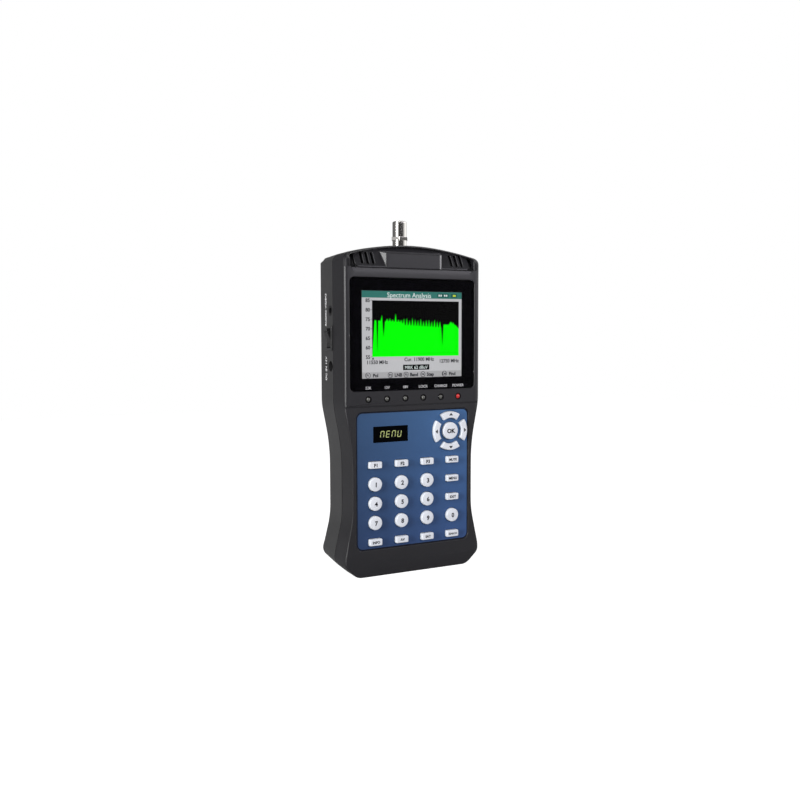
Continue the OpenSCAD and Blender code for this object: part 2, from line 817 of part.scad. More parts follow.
// One lamp at the origin of the front view: dome, body, rim and two leads down to the key board
module lamp() {
    r = led_d / 2;
    tip = face_y - led_proud;
    rim_y = inner_y + fit;
    translate([0, tip + r, 0]) sphere(r);
    rod_y([0, 0], r, tip + r, rim_y);
    rod_y([0, 0], r + led_rim, rim_y, rim_y + led_rim_t);
    for (s = [-1, 1])
        block([s * led_lead_gap / 4 - led_lead / 2, rim_y + led_rim_t, -led_lead / 2],
              [s * led_lead_gap / 4 + led_lead / 2, key_board_y, led_lead / 2]);
}

module status_leds() {
    color("#c9d2da") for (i = [0:led_count - 2]) translate([led_x(i), 0, led_z]) lamp();
}

module power_led() {
    color("#d8202a") translate([led_x(led_count - 1), 0, led_z]) lamp();
}

// Keypad

module keypad_panel() {
    color("#3f5f92") difference() {
        plate(panel_y, panel_seat_y) at_panel() rounded_rect(panel_w, panel_h, panel_r - fit);
        plate(panel_y - past, panel_seat_y + past) at_digits() square([digit_w, digit_h], center = true);
        for (k = KEYS) at_key(k) plate(panel_y - past, panel_seat_y + past) key_shape(k[1], key_gap);
    }
}

module digit_display() {
    color("#101410") plate(panel_y + fit, key_board_y) at_digits()
        square([digit_w - 2 * fit, digit_h - 2 * fit], center = true);
}

key_edge = 0.5;
key_crown = 0.2;
key_top_y = panel_y - key_rise;

// A round key's cap, turned about its own axis: rounded edge and slightly crowned top
module round_cap(r) {
    height = flange_y - key_top_y;
    edge_h = height - key_crown;
    flat = r - key_edge;
    translate([0, flange_y, 0]) rotate([90, 0, 0]) rotate_extrude() polygon(concat(
        [[0, 0], [r, 0]],
        [for (i = [0:round_steps]) let (t = 90 * i / round_steps)
            [flat + key_edge * cos(t), edge_h + key_edge * (sin(t) - 1)]],
        [for (i = [1:round_steps]) let (s = 1 - i / round_steps)
            [flat * s, edge_h + key_crown * (1 - s * s)]]));
}

// A bar or arrow key's cap, lofted with a rounded front edge
module lofted_cap(shape) {
    function ring(grow, y) = [for (p = key_points(shape, grow)) [p.x, y, p.y]];
    loft(concat(
        [for (i = [0:round_steps]) let (t = 90 * i / round_steps)
            ring(-key_edge * (1 - sin(t)), key_top_y + key_edge * (1 - cos(t)))],
        [ring(0, flange_y)]));
}

arc_pill_r = 1.6;
dot_pill_r = 2.5;
bar_pill_r = bar_h / 2 - key_gap;
pill_hole = 0.5;
function pill_r(shape) = shape == "arc" ? arc_pill_r : shape == "bar" ? bar_pill_r : dot_pill_r;
function pill_at(shape) = [0, shape == "arc" ? (nav_in + nav_r) / 2 : 0];

// One key: cap, flange that the front wall keeps in, and contact pill
module key_cap(k) {
    shape = k[1];
    color("#e6e9f1") at_key(k) {
        if (shape == "dot") round_cap(key_d / 2);
        else if (shape == "ok") round_cap(ok_d / 2);
        else lofted_cap(shape);
        plate(flange_y, flange_y + flange_t) key_shape(shape, flange_out);
        rod_y(pill_at(shape), pill_r(shape), flange_y + flange_t, flange_y + flange_t + pill_h);
    }
}

// Front view of a board or the mat, with narrower ends
module waisted(half, low, top, low_half, low_end, top_half, top_end) {
    polygon([
        [low_half, low], [low_half, low_end], [half, low_end], [half, top_end], [top_half, top_end],
        [top_half, top], [-top_half, top], [-top_half, top_end], [-half, top_end], [-half, low_end],
        [-low_half, low_end], [-low_half, low]]);
}

module keypad_mat() {
    half = board_half - fit;
    margin = 1;
    low = chin_h + margin;
    top = panel_top - margin;
    low_half = low_post.x - post_r - fit;
    low_end = low_post.y + post_r + fit;
    color("#30343a") difference() {
        plate(mat_y, key_board_y)
            waisted(half, low, top, low_half, low_end, half - board_corner, top - board_corner);
        plate(mat_y - past, key_board_y + past) at_digits() square([digit_w, digit_h], center = true);
        for (k = KEYS) at_key(k)
            rod_y(pill_at(k[1]), pill_r(k[1]) + pill_hole, mat_y - past, key_board_y + past);
    }
}

// Boards

module key_board() {
    color("#1f5a3a") difference() {
        plate(key_board_y, key_board_y + board_t)
            waisted(board_half, board_low, board_top, board_half - board_corner, board_low + board_corner,
                    notch_half, notch_z);
        for (p = [low_post, mid_post, top_post])
            both(p) rod_y([0, 0], board_screw_hole, key_board_y - past, key_board_y + board_t + past);
    }
}

module main_board() {
    color("#1f5a3a") difference() {
        plate(main_board_y, main_board_back)
            waisted(board_half, main_board_low, board_top, board_half - board_corner,
                    main_board_low + board_corner, notch_half, notch_z);
        for (p = [mid_post, top_post])
            both(p) rod_y([0, 0], board_screw_hole, main_board_y - past, main_board_back + past);
    }
}

module board_header() {
    color("#141414") block([-header_w / 2, key_board_y + board_t, mid_post.y - header_h / 2],
                           [header_w / 2, main_board_y, mid_post.y + header_h / 2]);
}

module board_spacers() {
    color("#b9975b") for (p = [mid_post, top_post]) both(p) difference() {
        rod_y([0, 0], spacer_r, key_board_y + board_t, main_board_y);
        rod_y([0, 0], board_screw_hole, key_board_y, main_board_back);
    }
}

// One board screw whose head rests at a depth
module board_screw(seat_y) {
    rod_y([0, 0], board_screw_d / 2, board_screw_tip_y, seat_y);
    rod_y([0, 0], board_head_r, seat_y, seat_y + board_head_t);
}

module board_screws() {
    color("#9a9da0") {
        both(low_post) board_screw(key_board_y + board_t);
        for (p = [mid_post, top_post]) both(p) board_screw(main_board_back);
    }
}

module speaker() {
    at = [tuner_half + speaker_d / 2 + speaker_gap, top_post.y - board_head_r - speaker_d / 2 - speaker_gap];
    color("#26262a") rod_y(at, speaker_d / 2, main_board_back, main_board_back + speaker_t);
}

module battery_pack() {
    color("#2f6aa8") translate([0, cell_y, cell_z]) {
        for (s = [-1, 1]) translate([s * cell_d / 2, 0, 0]) cylinder(d = cell_d, h = cell_l);
        block([-cell_d / 2, -cell_d / 2, 0], [cell_d / 2, cell_d / 2, cell_l]);
    }
}

// Aerial socket

module tuner_can() {
    color("#b8bcc0") block([-tuner_half, main_board_back, tuner_top - tuner_h],
                           [tuner_half, main_board_back + tuner_d, tuner_top]);
}

module aerial_socket() {
    r = aerial_d / 2;
    color("#c7c4bc") translate([0, aerial_y, 0]) difference() {
        union() {
            rotate_extrude() polygon(concat(
                [[0, tuner_top], [r, tuner_top]],
                [for (i = [0:round_steps]) let (t = 90 * i / round_steps)
                    [r - barrel_round * (1 - cos(t)), aerial_top - barrel_round * (1 - sin(t))]],
                [[0, aerial_top]]));
            translate([0, 0, hex_z]) cylinder(d = hex_w / cos(30), h = hex_t, $fn = 6);
        }
        translate([0, 0, aerial_top - insulator_t - contact_l]) cylinder(r = insulator_r, h = body_h);
    }
}

module aerial_insulator() {
    color("#f2f0ea") translate([0, aerial_y, aerial_top - insulator_t - fit]) difference() {
        cylinder(r = insulator_r - snug, h = insulator_t);
        translate([0, 0, -past]) cylinder(d = centre_d, h = insulator_t + 2 * past);
    }
}

module aerial_contact() {
    color("#c9a24a") translate([0, aerial_y, aerial_top - insulator_t - contact_l]) difference() {
        cylinder(r = contact_r, h = contact_l - fit);
        translate([0, 0, past]) cylinder(d = centre_d, h = contact_l);
    }
}

// Left side

module av_jack() {
    color("#17171a") difference() {
        union() {
            block([jack_wall, main_board_back, av_z - av_half],
                  [jack_wall + jack_l, jack_top, av_z + av_half]);
            rod_x([jack_y, av_z], jack_hole_d / 2 - fit, side_x + fit, jack_wall + past);
        }
        rod_x([jack_y, av_z], av_d / 2, side_x - past, jack_wall + jack_l - jack_end);
    }
}

module dc_jack() {
    end = jack_wall + jack_l - jack_end;
    color("#17171a") difference() {
        block([jack_wall, main_board_back, dc_z - jack_half], [jack_wall + jack_l, jack_top, dc_z + jack_half]);
        rod_x([jack_y, dc_z], dc_d / 2 + dc_mouth_lip, jack_wall - past, jack_wall + dc_mouth);
        difference() {
            rod_x([jack_y, dc_z], dc_d / 2, jack_wall, end);
            rod_x([jack_y, dc_z], dc_pin_r, jack_wall + dc_mouth + dc_pin_drop, end + past);
        }
    }
}

module switch_frame() {
    color("#121214") translate([0, rocker_y, rocker_z]) difference() {
        union() {
            block([side_x - bezel_t, -bezel_w / 2, -bezel_h / 2], [side_x, bezel_w / 2, bezel_h / 2]);
            block([side_x, -housing_w / 2, -housing_h / 2], [side_x + housing_d, housing_w / 2, housing_h / 2]);
        }
        block([side_x - bezel_t - past, -slot_w / 2, -slot_h / 2],
              [side_x + slot_d, slot_w / 2, slot_h / 2]);
        rotate([90, 0, 0]) translate([pivot_x, 0, -housing_w / 2 - past])
            cylinder(r = pivot_r + pivot_clear, h = housing_w + 2 * past);
    }
}

// The rocker stands with its upper half out
module power_rocker() {
    half = slot_h / 2 - rocker_end_gap;
    width = slot_w - 2 * key_gap;
    reach = bezel_t + pivot_in + rocker_proud;
    color("#1b1b1e") translate([pivot_x, rocker_y, rocker_z]) rotate([0, -rocker_lean, 0]) {
        plate(-width / 2, width / 2) polygon([
            [rocker_dish - reach, 0], [-reach, half - rocker_edge], [rocker_edge - reach, half],
            [0, half], [rocker_keel, half / 2], [rocker_keel, -half / 2], [0, -half],
            [rocker_edge - reach, -half], [-reach, rocker_edge - half]]);
        plate(-housing_w / 2 + snug, housing_w / 2 - snug) circle(pivot_r);
    }
}

front_case();
rear_case();
display_window();
window_gasket();
lcd_module();
keypad_panel();
digit_display();
status_leds();
power_led();
keypad_mat();
key_board();
main_board();
board_header();
board_spacers();
board_screws();
case_screws();
tuner_can();
aerial_socket();
aerial_insulator();
aerial_contact();
av_jack();
dc_jack();
switch_frame();
power_rocker();
battery_pack();
speaker();
for (k = KEYS) key_cap(k);
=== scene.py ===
import json
import math

import bmesh
import bpy
from mathutils import Matrix, Vector


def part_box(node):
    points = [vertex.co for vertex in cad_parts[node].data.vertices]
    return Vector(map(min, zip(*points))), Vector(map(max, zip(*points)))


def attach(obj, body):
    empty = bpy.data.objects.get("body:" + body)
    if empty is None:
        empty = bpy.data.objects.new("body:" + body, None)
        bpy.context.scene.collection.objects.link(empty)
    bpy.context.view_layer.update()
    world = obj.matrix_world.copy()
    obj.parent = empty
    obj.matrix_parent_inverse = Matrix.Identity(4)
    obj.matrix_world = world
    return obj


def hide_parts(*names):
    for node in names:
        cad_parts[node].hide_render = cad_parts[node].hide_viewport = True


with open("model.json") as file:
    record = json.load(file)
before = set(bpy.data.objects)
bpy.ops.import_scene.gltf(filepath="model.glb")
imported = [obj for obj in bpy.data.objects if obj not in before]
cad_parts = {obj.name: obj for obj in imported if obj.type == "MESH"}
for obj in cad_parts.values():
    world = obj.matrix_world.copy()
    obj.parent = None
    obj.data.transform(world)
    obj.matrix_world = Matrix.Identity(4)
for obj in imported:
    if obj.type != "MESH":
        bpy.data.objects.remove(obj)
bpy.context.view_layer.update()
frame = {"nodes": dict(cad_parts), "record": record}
nodes = frame["nodes"]

# Sizes are in metres, in the CAD part's frame: X across, Y from front to back, Z up from the foot
MM = 0.001
METER = "meter"
# Ways that a flat drawing is turned: the columns say where its width, its height and its face point
FRONT = Matrix(((1, 0, 0), (0, 0, -1), (0, 1, 0)))
LEFT_SIDE = Matrix(((0, 0, -1), (0, 1, 0), (1, 0, 0)))


# Nodes of a finish

def add_node(tree, kind, values=None, **settings):
    """Adds a node with its settings and the plain values of its inputs."""
    made = tree.nodes.new(kind)
    for name, value in settings.items():
        setattr(made, name, value)
    for name, value in (values or {}).items():
        made.inputs[name].default_value = value
    return made


def feed(tree, value, slot):
    """Sets an input to a plain number, or links a socket to it."""
    if isinstance(value, (int, float)):
        slot.default_value = value
    else:
        tree.links.new(value, slot)


def math_node(tree, operation, first, second):
    """A Math node whose two inputs are sockets or plain numbers."""
    made = add_node(tree, "ShaderNodeMath", operation=operation)
    feed(tree, first, made.inputs[0])
    feed(tree, second, made.inputs[1])
    return made.outputs[0]


def times(tree, first, second):
    return math_node(tree, "MULTIPLY", first, second)


def map_range(tree, value, low, high, to_low, to_high):
    """Fits a value into a new range; the new ends are sockets or plain numbers."""
    made = add_node(tree, "ShaderNodeMapRange", {"From Min": low, "From Max": high})
    tree.links.new(value, made.inputs["Value"])
    feed(tree, to_low, made.inputs["To Min"])
    feed(tree, to_high, made.inputs["To Max"])
    return made.outputs["Result"]


def within(tree, value, low, high):
    """One where a value lies between two limits, else nothing."""
    return times(tree, math_node(tree, "GREATER_THAN", value, low), math_node(tree, "LESS_THAN", value, high))


def tint(tree, colour, factor):
    """Scales a colour by a factor that changes over the surface."""
    made = add_node(tree, "ShaderNodeVectorMath", operation="SCALE")
    tree.links.new(colour, made.inputs[0])
    tree.links.new(factor, made.inputs["Scale"])
    return made.outputs[0]


def own_place(tree):
    """Where a point lies in the part's frame."""
    return add_node(tree, "ShaderNodeTexCoord").outputs["Object"]


def split_axes(tree, vector):
    """The X, Y and Z of a vector."""
    split = add_node(tree, "ShaderNodeSeparateXYZ")
    tree.links.new(vector, split.inputs[0])
    return split.outputs


def noise(tree, place, scale, detail=2.0):
    """A soft noise; its scale is a socket or a plain number."""
    made = add_node(tree, "ShaderNodeTexNoise", {"Detail": detail})
    tree.links.new(place, made.inputs["Vector"])
    feed(tree, scale, made.inputs["Scale"])
    return made.outputs["Fac"]


# Values between which most of a noise lies
NOISE_SPAN = (0.3, 0.7)


def vary(tree, pattern, middle, spread):
    """A value that follows a noise, by a spread to either side of its middle."""
    return map_range(tree, pattern, *NOISE_SPAN, math_node(tree, "SUBTRACT", middle, spread),
                     math_node(tree, "ADD", middle, spread))


def new_group(name, inputs, outputs):
    """A shader node group with named sockets, and its input and output nodes."""
    group = bpy.data.node_groups.new(name, "ShaderNodeTree")
    for direction, sockets in (("INPUT", inputs), ("OUTPUT", outputs)):
        for title, kind in sockets:
            group.interface.new_socket(title, in_out=direction, socket_type="NodeSocket" + kind)
    return group, group.nodes.new("NodeGroupInput").outputs, group.nodes.new("NodeGroupOutput").inputs


# Scale of the clouds in a plastic's colour
CLOUD_SCALE = 60.0


def moulded_skin_group():
    """Moulded plastic: faint cloudy colour, uneven gloss and a fine spark-eroded grain."""
    group, given, result = new_group(
        "moulded_skin",
        [("Colour", "Color"), ("Cloud", "Float"), ("Roughness", "Float"), ("Gloss Spread", "Float"),
         ("Grain Scale", "Float"), ("Grain Depth", "Float")],
        [("Colour", "Color"), ("Roughness", "Float"), ("Normal", "Vector")])
    place = own_place(group)
    cloud = noise(group, place, CLOUD_SCALE, detail=3.0)
    grain = noise(group, place, given["Grain Scale"], detail=1.0)
    shade = vary(group, cloud, 1.0, given["Cloud"])
    group.links.new(tint(group, given["Colour"], shade), result["Colour"])
    half_spread = times(group, given["Gloss Spread"], 0.5)
    group.links.new(vary(group, grain, given["Roughness"], half_spread), result["Roughness"])
    bump = add_node(group, "ShaderNodeBump", {"Strength": 1.0})
    group.links.new(given["Grain Depth"], bump.inputs["Distance"])
    group.links.new(grain, bump.inputs["Height"])
    group.links.new(bump.outputs["Normal"], result["Normal"])
    return group


# Screen: pitch of its pixels, the share of a pixel where its dark line starts, and how dark the line is
PIXEL, LINE_START, LINE_DARK = 0.219 * MM, 0.9, 0.25
# How much the picture fades, and how far from its middle
SCREEN_FADE, FADE_REACH = 0.07, 45 * MM


def backlit_pixels_group(centre):
    """A backlit picture: brightest in the middle, with the faint dark lines between its pixels."""
    group, given, result = new_group("backlit_pixels", [("Colour", "Color")], [("Colour", "Color")])
    place = own_place(group)
    away = add_node(group, "ShaderNodeVectorMath", operation="DISTANCE")
    group.links.new(place, away.inputs[0])
    away.inputs[1].default_value = centre
    bright = map_range(group, away.outputs["Value"], 0.0, FADE_REACH, 1.0, 1.0 - SCREEN_FADE)
    axes = split_axes(group, place)
    for axis in ("X", "Z"):
        step = math_node(group, "FRACT", math_node(group, "DIVIDE", axes[axis], PIXEL), 0.0)
        line = math_node(group, "GREATER_THAN", step, LINE_START)
        bright = times(group, bright, math_node(group, "SUBTRACT", 1.0, times(group, line, LINE_DARK)))
    group.links.new(tint(group, given["Colour"], bright), result["Colour"])
    return group


# Turning lines of metal, drawn out round the upright axis, and its patches
TURNING_STRETCH, TURNING_SCALE, PATCH_SCALE = (0.1, 0.1, 1.0), 9000.0, 300.0


def turned_metal_group():
    """Plated or turned metal: faint colour patches and fine lines round the upright axis."""
    group, given, result = new_group(
        "turned_metal",
        [("Colour", "Color"), ("Patch", "Float"), ("Roughness", "Float"), ("Gloss Spread", "Float")],
        [("Colour", "Color"), ("Roughness", "Float")])
    place = own_place(group)
    stretch = add_node(group, "ShaderNodeMapping", {"Scale": TURNING_STRETCH})
    group.links.new(place, stretch.inputs["Vector"])
    lines = noise(group, stretch.outputs["Vector"], TURNING_SCALE)
    patch = noise(group, place, PATCH_SCALE)
    shade = map_range(group, patch, *NOISE_SPAN, math_node(group, "SUBTRACT", 1.0, given["Patch"]), 1.0)
    group.links.new(tint(group, given["Colour"], shade), result["Colour"])
    uneven = times(group, lines, given["Gloss Spread"])
    group.links.new(math_node(group, "ADD", given["Roughness"], uneven), result["Roughness"])
    return group


# Finishes

def rgba(colour):
    return (*colour, 1.0)


def new_finish(name, **values):
    """A material with its Principled shader set; returns material, node tree and shader."""
    made = bpy.data.materials.new(name)
    made.use_nodes = True
    tree = made.node_tree
    shader = tree.nodes["Principled BSDF"]
    for socket, value in values.items():
        shader.inputs[socket.replace("_", " ").title().replace("Ior", "IOR")].default_value = value
    return made, tree, shader


def place_group(tree, group, **values):
    """Places a group in a finish with its own values."""
    placed = add_node(tree, "ShaderNodeGroup", node_tree=group)
    for name, value in values.items():
        placed.inputs[name.replace("_", " ").title()].default_value = value
    return placed


# Outputs of a skin group, and the shader inputs that they feed
SKIN_INPUTS = {"Colour": "Base Color", "Roughness": "Roughness", "Normal": "Normal"}


def lay_skin(tree, skin, shader, outputs=tuple(SKIN_INPUTS)):
    for output in outputs:
        tree.links.new(skin.outputs[output], shader.inputs[SKIN_INPUTS[output]])


def moulded(name, colour, cloud, roughness, spread, grain_size, grain_depth, **values):
    """A moulded plastic finish; sizes of the grain in millimetres."""
    made, tree, shader = new_finish(name, **values)
    skin = place_group(tree, MOULDED_SKIN, colour=rgba(colour), cloud=cloud, roughness=roughness,
                       gloss_spread=spread, grain_scale=1 / (grain_size * MM), grain_depth=grain_depth * MM)
    lay_skin(tree, skin, shader)
    return made


def metal(name, colour, patch, roughness, spread):
    """A plated or turned metal finish."""
    made, tree, shader = new_finish(name, metallic=1.0)
    skin = place_group(tree, TURNED_METAL, colour=rgba(colour), patch=patch, roughness=roughness,
                       gloss_spread=spread)
    lay_skin(tree, skin, shader, ("Colour", "Roughness"))
    return made


def lit(name, colour):
    """A self-lit finish for the screen and the digits, with no glare on it."""
    made, tree, shader = new_finish(name, roughness=0.6, specular_ior_level=0.0, emission_strength=1.0)
    shader.inputs["Base Color"].default_value = rgba((0.0, 0.0, 0.0))
    placed = place_group(tree, BACKLIT_PIXELS, colour=rgba(colour))
    tree.links.new(placed.outputs["Colour"], shader.inputs["Emission Color"])
    return made


# Roll of the head's face: distance from the middle where it starts, its width and its steepest slope
ROLL_START, ROLL_WIDTH, ROLL_SLOPE = 44.3 * MM, 2.0 * MM, 0.36
# Leaning ends of the crown: height of its foot, half width of its middle part, the width over which the lean
# comes in, and the slope
CROWN_FOOT, CROWN_HALF, CROWN_FADE, CROWN_SLOPE = 187.8 * MM, 43.3 * MM, 1 * MM, 0.53
# Limits of the way that a face looks: along Y on the crown's front and on the bevel inside the seam, along X
# on the bevel at the badge's right end
CROWN_FACING, SEAM_FACING, BADGE_END_FACING = (-0.9, -0.5), (-0.4, -0.3), (0.12, 0.3)
# Badge: its reach from the middle, its top, and the facets whose shading turns: the way that they look,
# with limits, and the slope along an axis
BADGE_REACH, BADGE_TOP = 24 * MM, 199.3 * MM
BADGE_FACETS = (("X", -1.0, -0.8, "Y", -0.32), ("Z", 0.8, 1.0, "Y", -1.7),
                ("X", *BADGE_END_FACING, "X", 0.27))
# Painted highlight on the bevel at the badge's right end: its reach across, and how much lighter it is
BADGE_END, BADGE_END_HIGHLIGHT = (17.9 * MM, 20 * MM), 0.36
# Sheen of plain plastic
PLAIN_SHEEN = 0.5


def face_axes(tree):
    """The X, Y and Z of the way that a face looks."""
    return split_axes(tree, add_node(tree, "ShaderNodeNewGeometry").outputs["True Normal"])


def face_roll(tree, aside):
    """Height by which the head's face falls away towards its sides."""
    past = math_node(tree, "MAXIMUM", math_node(tree, "SUBTRACT", aside, ROLL_START), 0.0)
    bent = math_node(tree, "MINIMUM", past, ROLL_WIDTH)
    curve = times(tree, times(tree, bent, bent), 0.5 / ROLL_WIDTH)
    straight = math_node(tree, "SUBTRACT", past, bent)
    return times(tree, math_node(tree, "ADD", curve, straight), ROLL_SLOPE)


def crown_shade(tree, aside, place, facing):
    """Height that leans the crown's ends back and turns the badge's facets."""
    above = math_node(tree, "MAXIMUM", math_node(tree, "SUBTRACT", place["Z"], CROWN_FOOT), 0.0)
    ends = map_range(tree, aside, CROWN_HALF - CROWN_FADE, CROWN_HALF, 0.0, CROWN_SLOPE)
    ahead = map_range(tree, facing["Y"], *CROWN_FACING, 1.0, 0.0)
    height = times(tree, times(tree, above, ends), ahead)
    badge = times(tree, within(tree, place["Z"], CROWN_FOOT, BADGE_TOP),
                  math_node(tree, "LESS_THAN", aside, BADGE_REACH))
    for side, low, high, along, slope in BADGE_FACETS:
        facet = times(tree, badge, within(tree, facing[side], low, high))
        fall = times(tree, place[along], slope)
        height = math_node(tree, "ADD", height, times(tree, fall, facet))
    return height


def lighten_badge_end(tree, shader, place, facing):
    """Adds a painted highlight, a light line on the bevel at the badge's right end, to the colour."""
    badge_end = times(tree, within(tree, place["Z"], CROWN_FOOT, BADGE_TOP),
                      within(tree, place["X"], *BADGE_END))
    bevel = times(tree, badge_end, within(tree, facing["X"], *BADGE_END_FACING))
    base = shader.inputs["Base Color"]
    # Painted highlight: the bevel's colour is made lighter where it would catch the bright wall
    lighter = add_node(tree, "ShaderNodeVectorMath", operation="ADD")
    tree.links.new(base.links[0].from_socket, lighter.inputs[0])
    tree.links.new(times(tree, bevel, BADGE_END_HIGHLIGHT), lighter.inputs[1])
    tree.links.new(lighter.outputs[0], base)


def front_shell():
    """Plastic of the front shell, with the soft forms of its head and crown in its shading and a painted
    highlight on the badge's right end.
    """
    made = moulded("case_front_plastic", (0.0125, 0.0122, 0.0145), 0.06, 0.38, 0.06, 0.22, 0.004)
    tree = made.node_tree
    shader = tree.nodes["Principled BSDF"]
    grain = shader.inputs["Normal"].links[0].from_socket
    place, facing = split_axes(tree, own_place(tree)), face_axes(tree)
    aside = math_node(tree, "ABSOLUTE", place["X"], 0.0)
    height = math_node(tree, "ADD", face_roll(tree, aside), crown_shade(tree, aside, place, facing))
    bump = add_node(tree, "ShaderNodeBump", {"Strength": 1.0, "Distance": 1.0}, invert=True)
    tree.links.new(height, bump.inputs["Height"])
    tree.links.new(grain, bump.inputs["Normal"])
    tree.links.new(bump.outputs["Normal"], shader.inputs["Normal"])
    # Painted highlight on the badge's right end
    lighten_badge_end(tree, shader, place, facing)
    return made


def rear_shell():
    """Plastic of the rear shell; the bevel inside the seam, which looks forwards, has no sheen."""
    # Painted light: the rear shell's colour is lighter than the front shell's, for the light that the rear
    # half of the side catches
    made = moulded("case_rear_plastic", (0.034, 0.034, 0.035), 0.06, 0.36, 0.08, 0.22, 0.005)
    tree = made.node_tree
    sheen = map_range(tree, face_axes(tree)["Y"], *SEAM_FACING, 0.0, PLAIN_SHEEN)
    tree.links.new(sheen, tree.nodes["Principled BSDF"].inputs["Specular IOR Level"])
    return made


# Panel film: colours at its foot and at its top, and how they change from left to right; painted shade
# towards the foot and the left, painted light towards the top and the right
FILM_SHADED_FOOT, FILM_LIT_TOP = (0.0255, 0.061, 0.164), (0.038, 0.103, 0.232)
FILM_LIGHT_ACROSS = (0.76, 1.42)


def panel_film():
    """Blue printed film with a fine matt tooth, painted darker towards the foot and the left and lighter
    towards the top and the right, where more light falls.
    """
    made, tree, shader = new_finish("panel_film", specular_ior_level=0.35)
    low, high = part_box("keypad_panel")
    axes = split_axes(tree, own_place(tree))
    ramp = add_node(tree, "ShaderNodeValToRGB")
    # Painted light and shade: the film's colour follows its height and its place across
    tree.links.new(map_range(tree, axes["Z"], low.z, high.z, 0.0, 1.0), ramp.inputs["Fac"])
    for stop, colour in zip(ramp.color_ramp.elements, (FILM_SHADED_FOOT, FILM_LIT_TOP)):
        stop.color = rgba(colour)
    across = map_range(tree, axes["X"], low.x, high.x, *FILM_LIGHT_ACROSS)
    skin = place_group(tree, MOULDED_SKIN, cloud=0.03, roughness=0.42, gloss_spread=0.08,
                       grain_scale=1 / (0.12 * MM), grain_depth=0.004 * MM)
    tree.links.new(tint(tree, ramp.outputs["Color"], across), skin.inputs["Colour"])
    lay_skin(tree, skin, shader)
    return made


# Handling haze: scale and detail of its noise, the noise's span, and the roughness that it reaches
HAZE_SCALE, HAZE_DETAIL, HAZE_SPAN, HAZE_ROUGH = 45.0, 4.0, (0.35, 0.75), 0.012


def clear_window():
    """Clear acrylic with a trace of handling haze in its gloss."""
    made, tree, shader = new_finish("clear_window", transmission_weight=1.0, ior=1.22)
    shader.inputs["Base Color"].default_value = rgba((0.96, 0.97, 0.98))
    smears = noise(tree, own_place(tree), HAZE_SCALE, HAZE_DETAIL)
    tree.links.new(map_range(tree, smears, *HAZE_SPAN, 0.0, HAZE_ROUGH), shader.inputs["Roughness"])
    return made


def lamp_resin(name, colour, transmission, glow=(0.0, 0.0, 0.0), strength=0.0):
    """Cast resin of a lamp, slightly cloudy, which may glow."""
    made, tree, shader = new_finish(name, transmission_weight=transmission, ior=1.5, specular_ior_level=1.0,
                                    emission_strength=strength)
    shader.inputs["Emission Color"].default_value = rgba(glow)
    skin = place_group(tree, MOULDED_SKIN, colour=rgba(colour), cloud=0.08, roughness=0.06, gloss_spread=0.03,
                       grain_scale=1 / (0.3 * MM))
    lay_skin(tree, skin, shader, ("Colour", "Roughness"))
    return made


# Circuit board: colours of its tracks and of the mask between them, scale of the tracks and their share
TRACK_GREEN, MASK_GREEN = (0.035, 0.17, 0.075), (0.012, 0.085, 0.035)
TRACK_SCALE, TRACK_SHARE = 260.0, 0.12


def circuit_board():
    """Green solder mask over a pattern of tracks."""
    made, tree, shader = new_finish("circuit_board", roughness=0.3)
    tracks = add_node(tree, "ShaderNodeTexVoronoi", {"Scale": TRACK_SCALE}, distance="CHEBYCHEV",
                      feature="DISTANCE_TO_EDGE")
    tree.links.new(own_place(tree), tracks.inputs["Vector"])
    ramp = add_node(tree, "ShaderNodeValToRGB")
    tree.links.new(tracks.outputs["Distance"], ramp.inputs["Fac"])
    ramp.color_ramp.interpolation = "CONSTANT"
    for stop, colour in zip(ramp.color_ramp.elements, (TRACK_GREEN, MASK_GREEN)):
        stop.color = rgba(colour)
    ramp.color_ramp.elements[1].position = TRACK_SHARE
    tree.links.new(ramp.outputs["Color"], shader.inputs["Base Color"])
    return made


screen_low, screen_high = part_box("lcd_module")
SCREEN = Vector((0.0, screen_low.y, (screen_low.z + screen_high.z) / 2))
MOULDED_SKIN = moulded_skin_group()
BACKLIT_PIXELS = backlit_pixels_group(SCREEN)
TURNED_METAL = turned_metal_group()

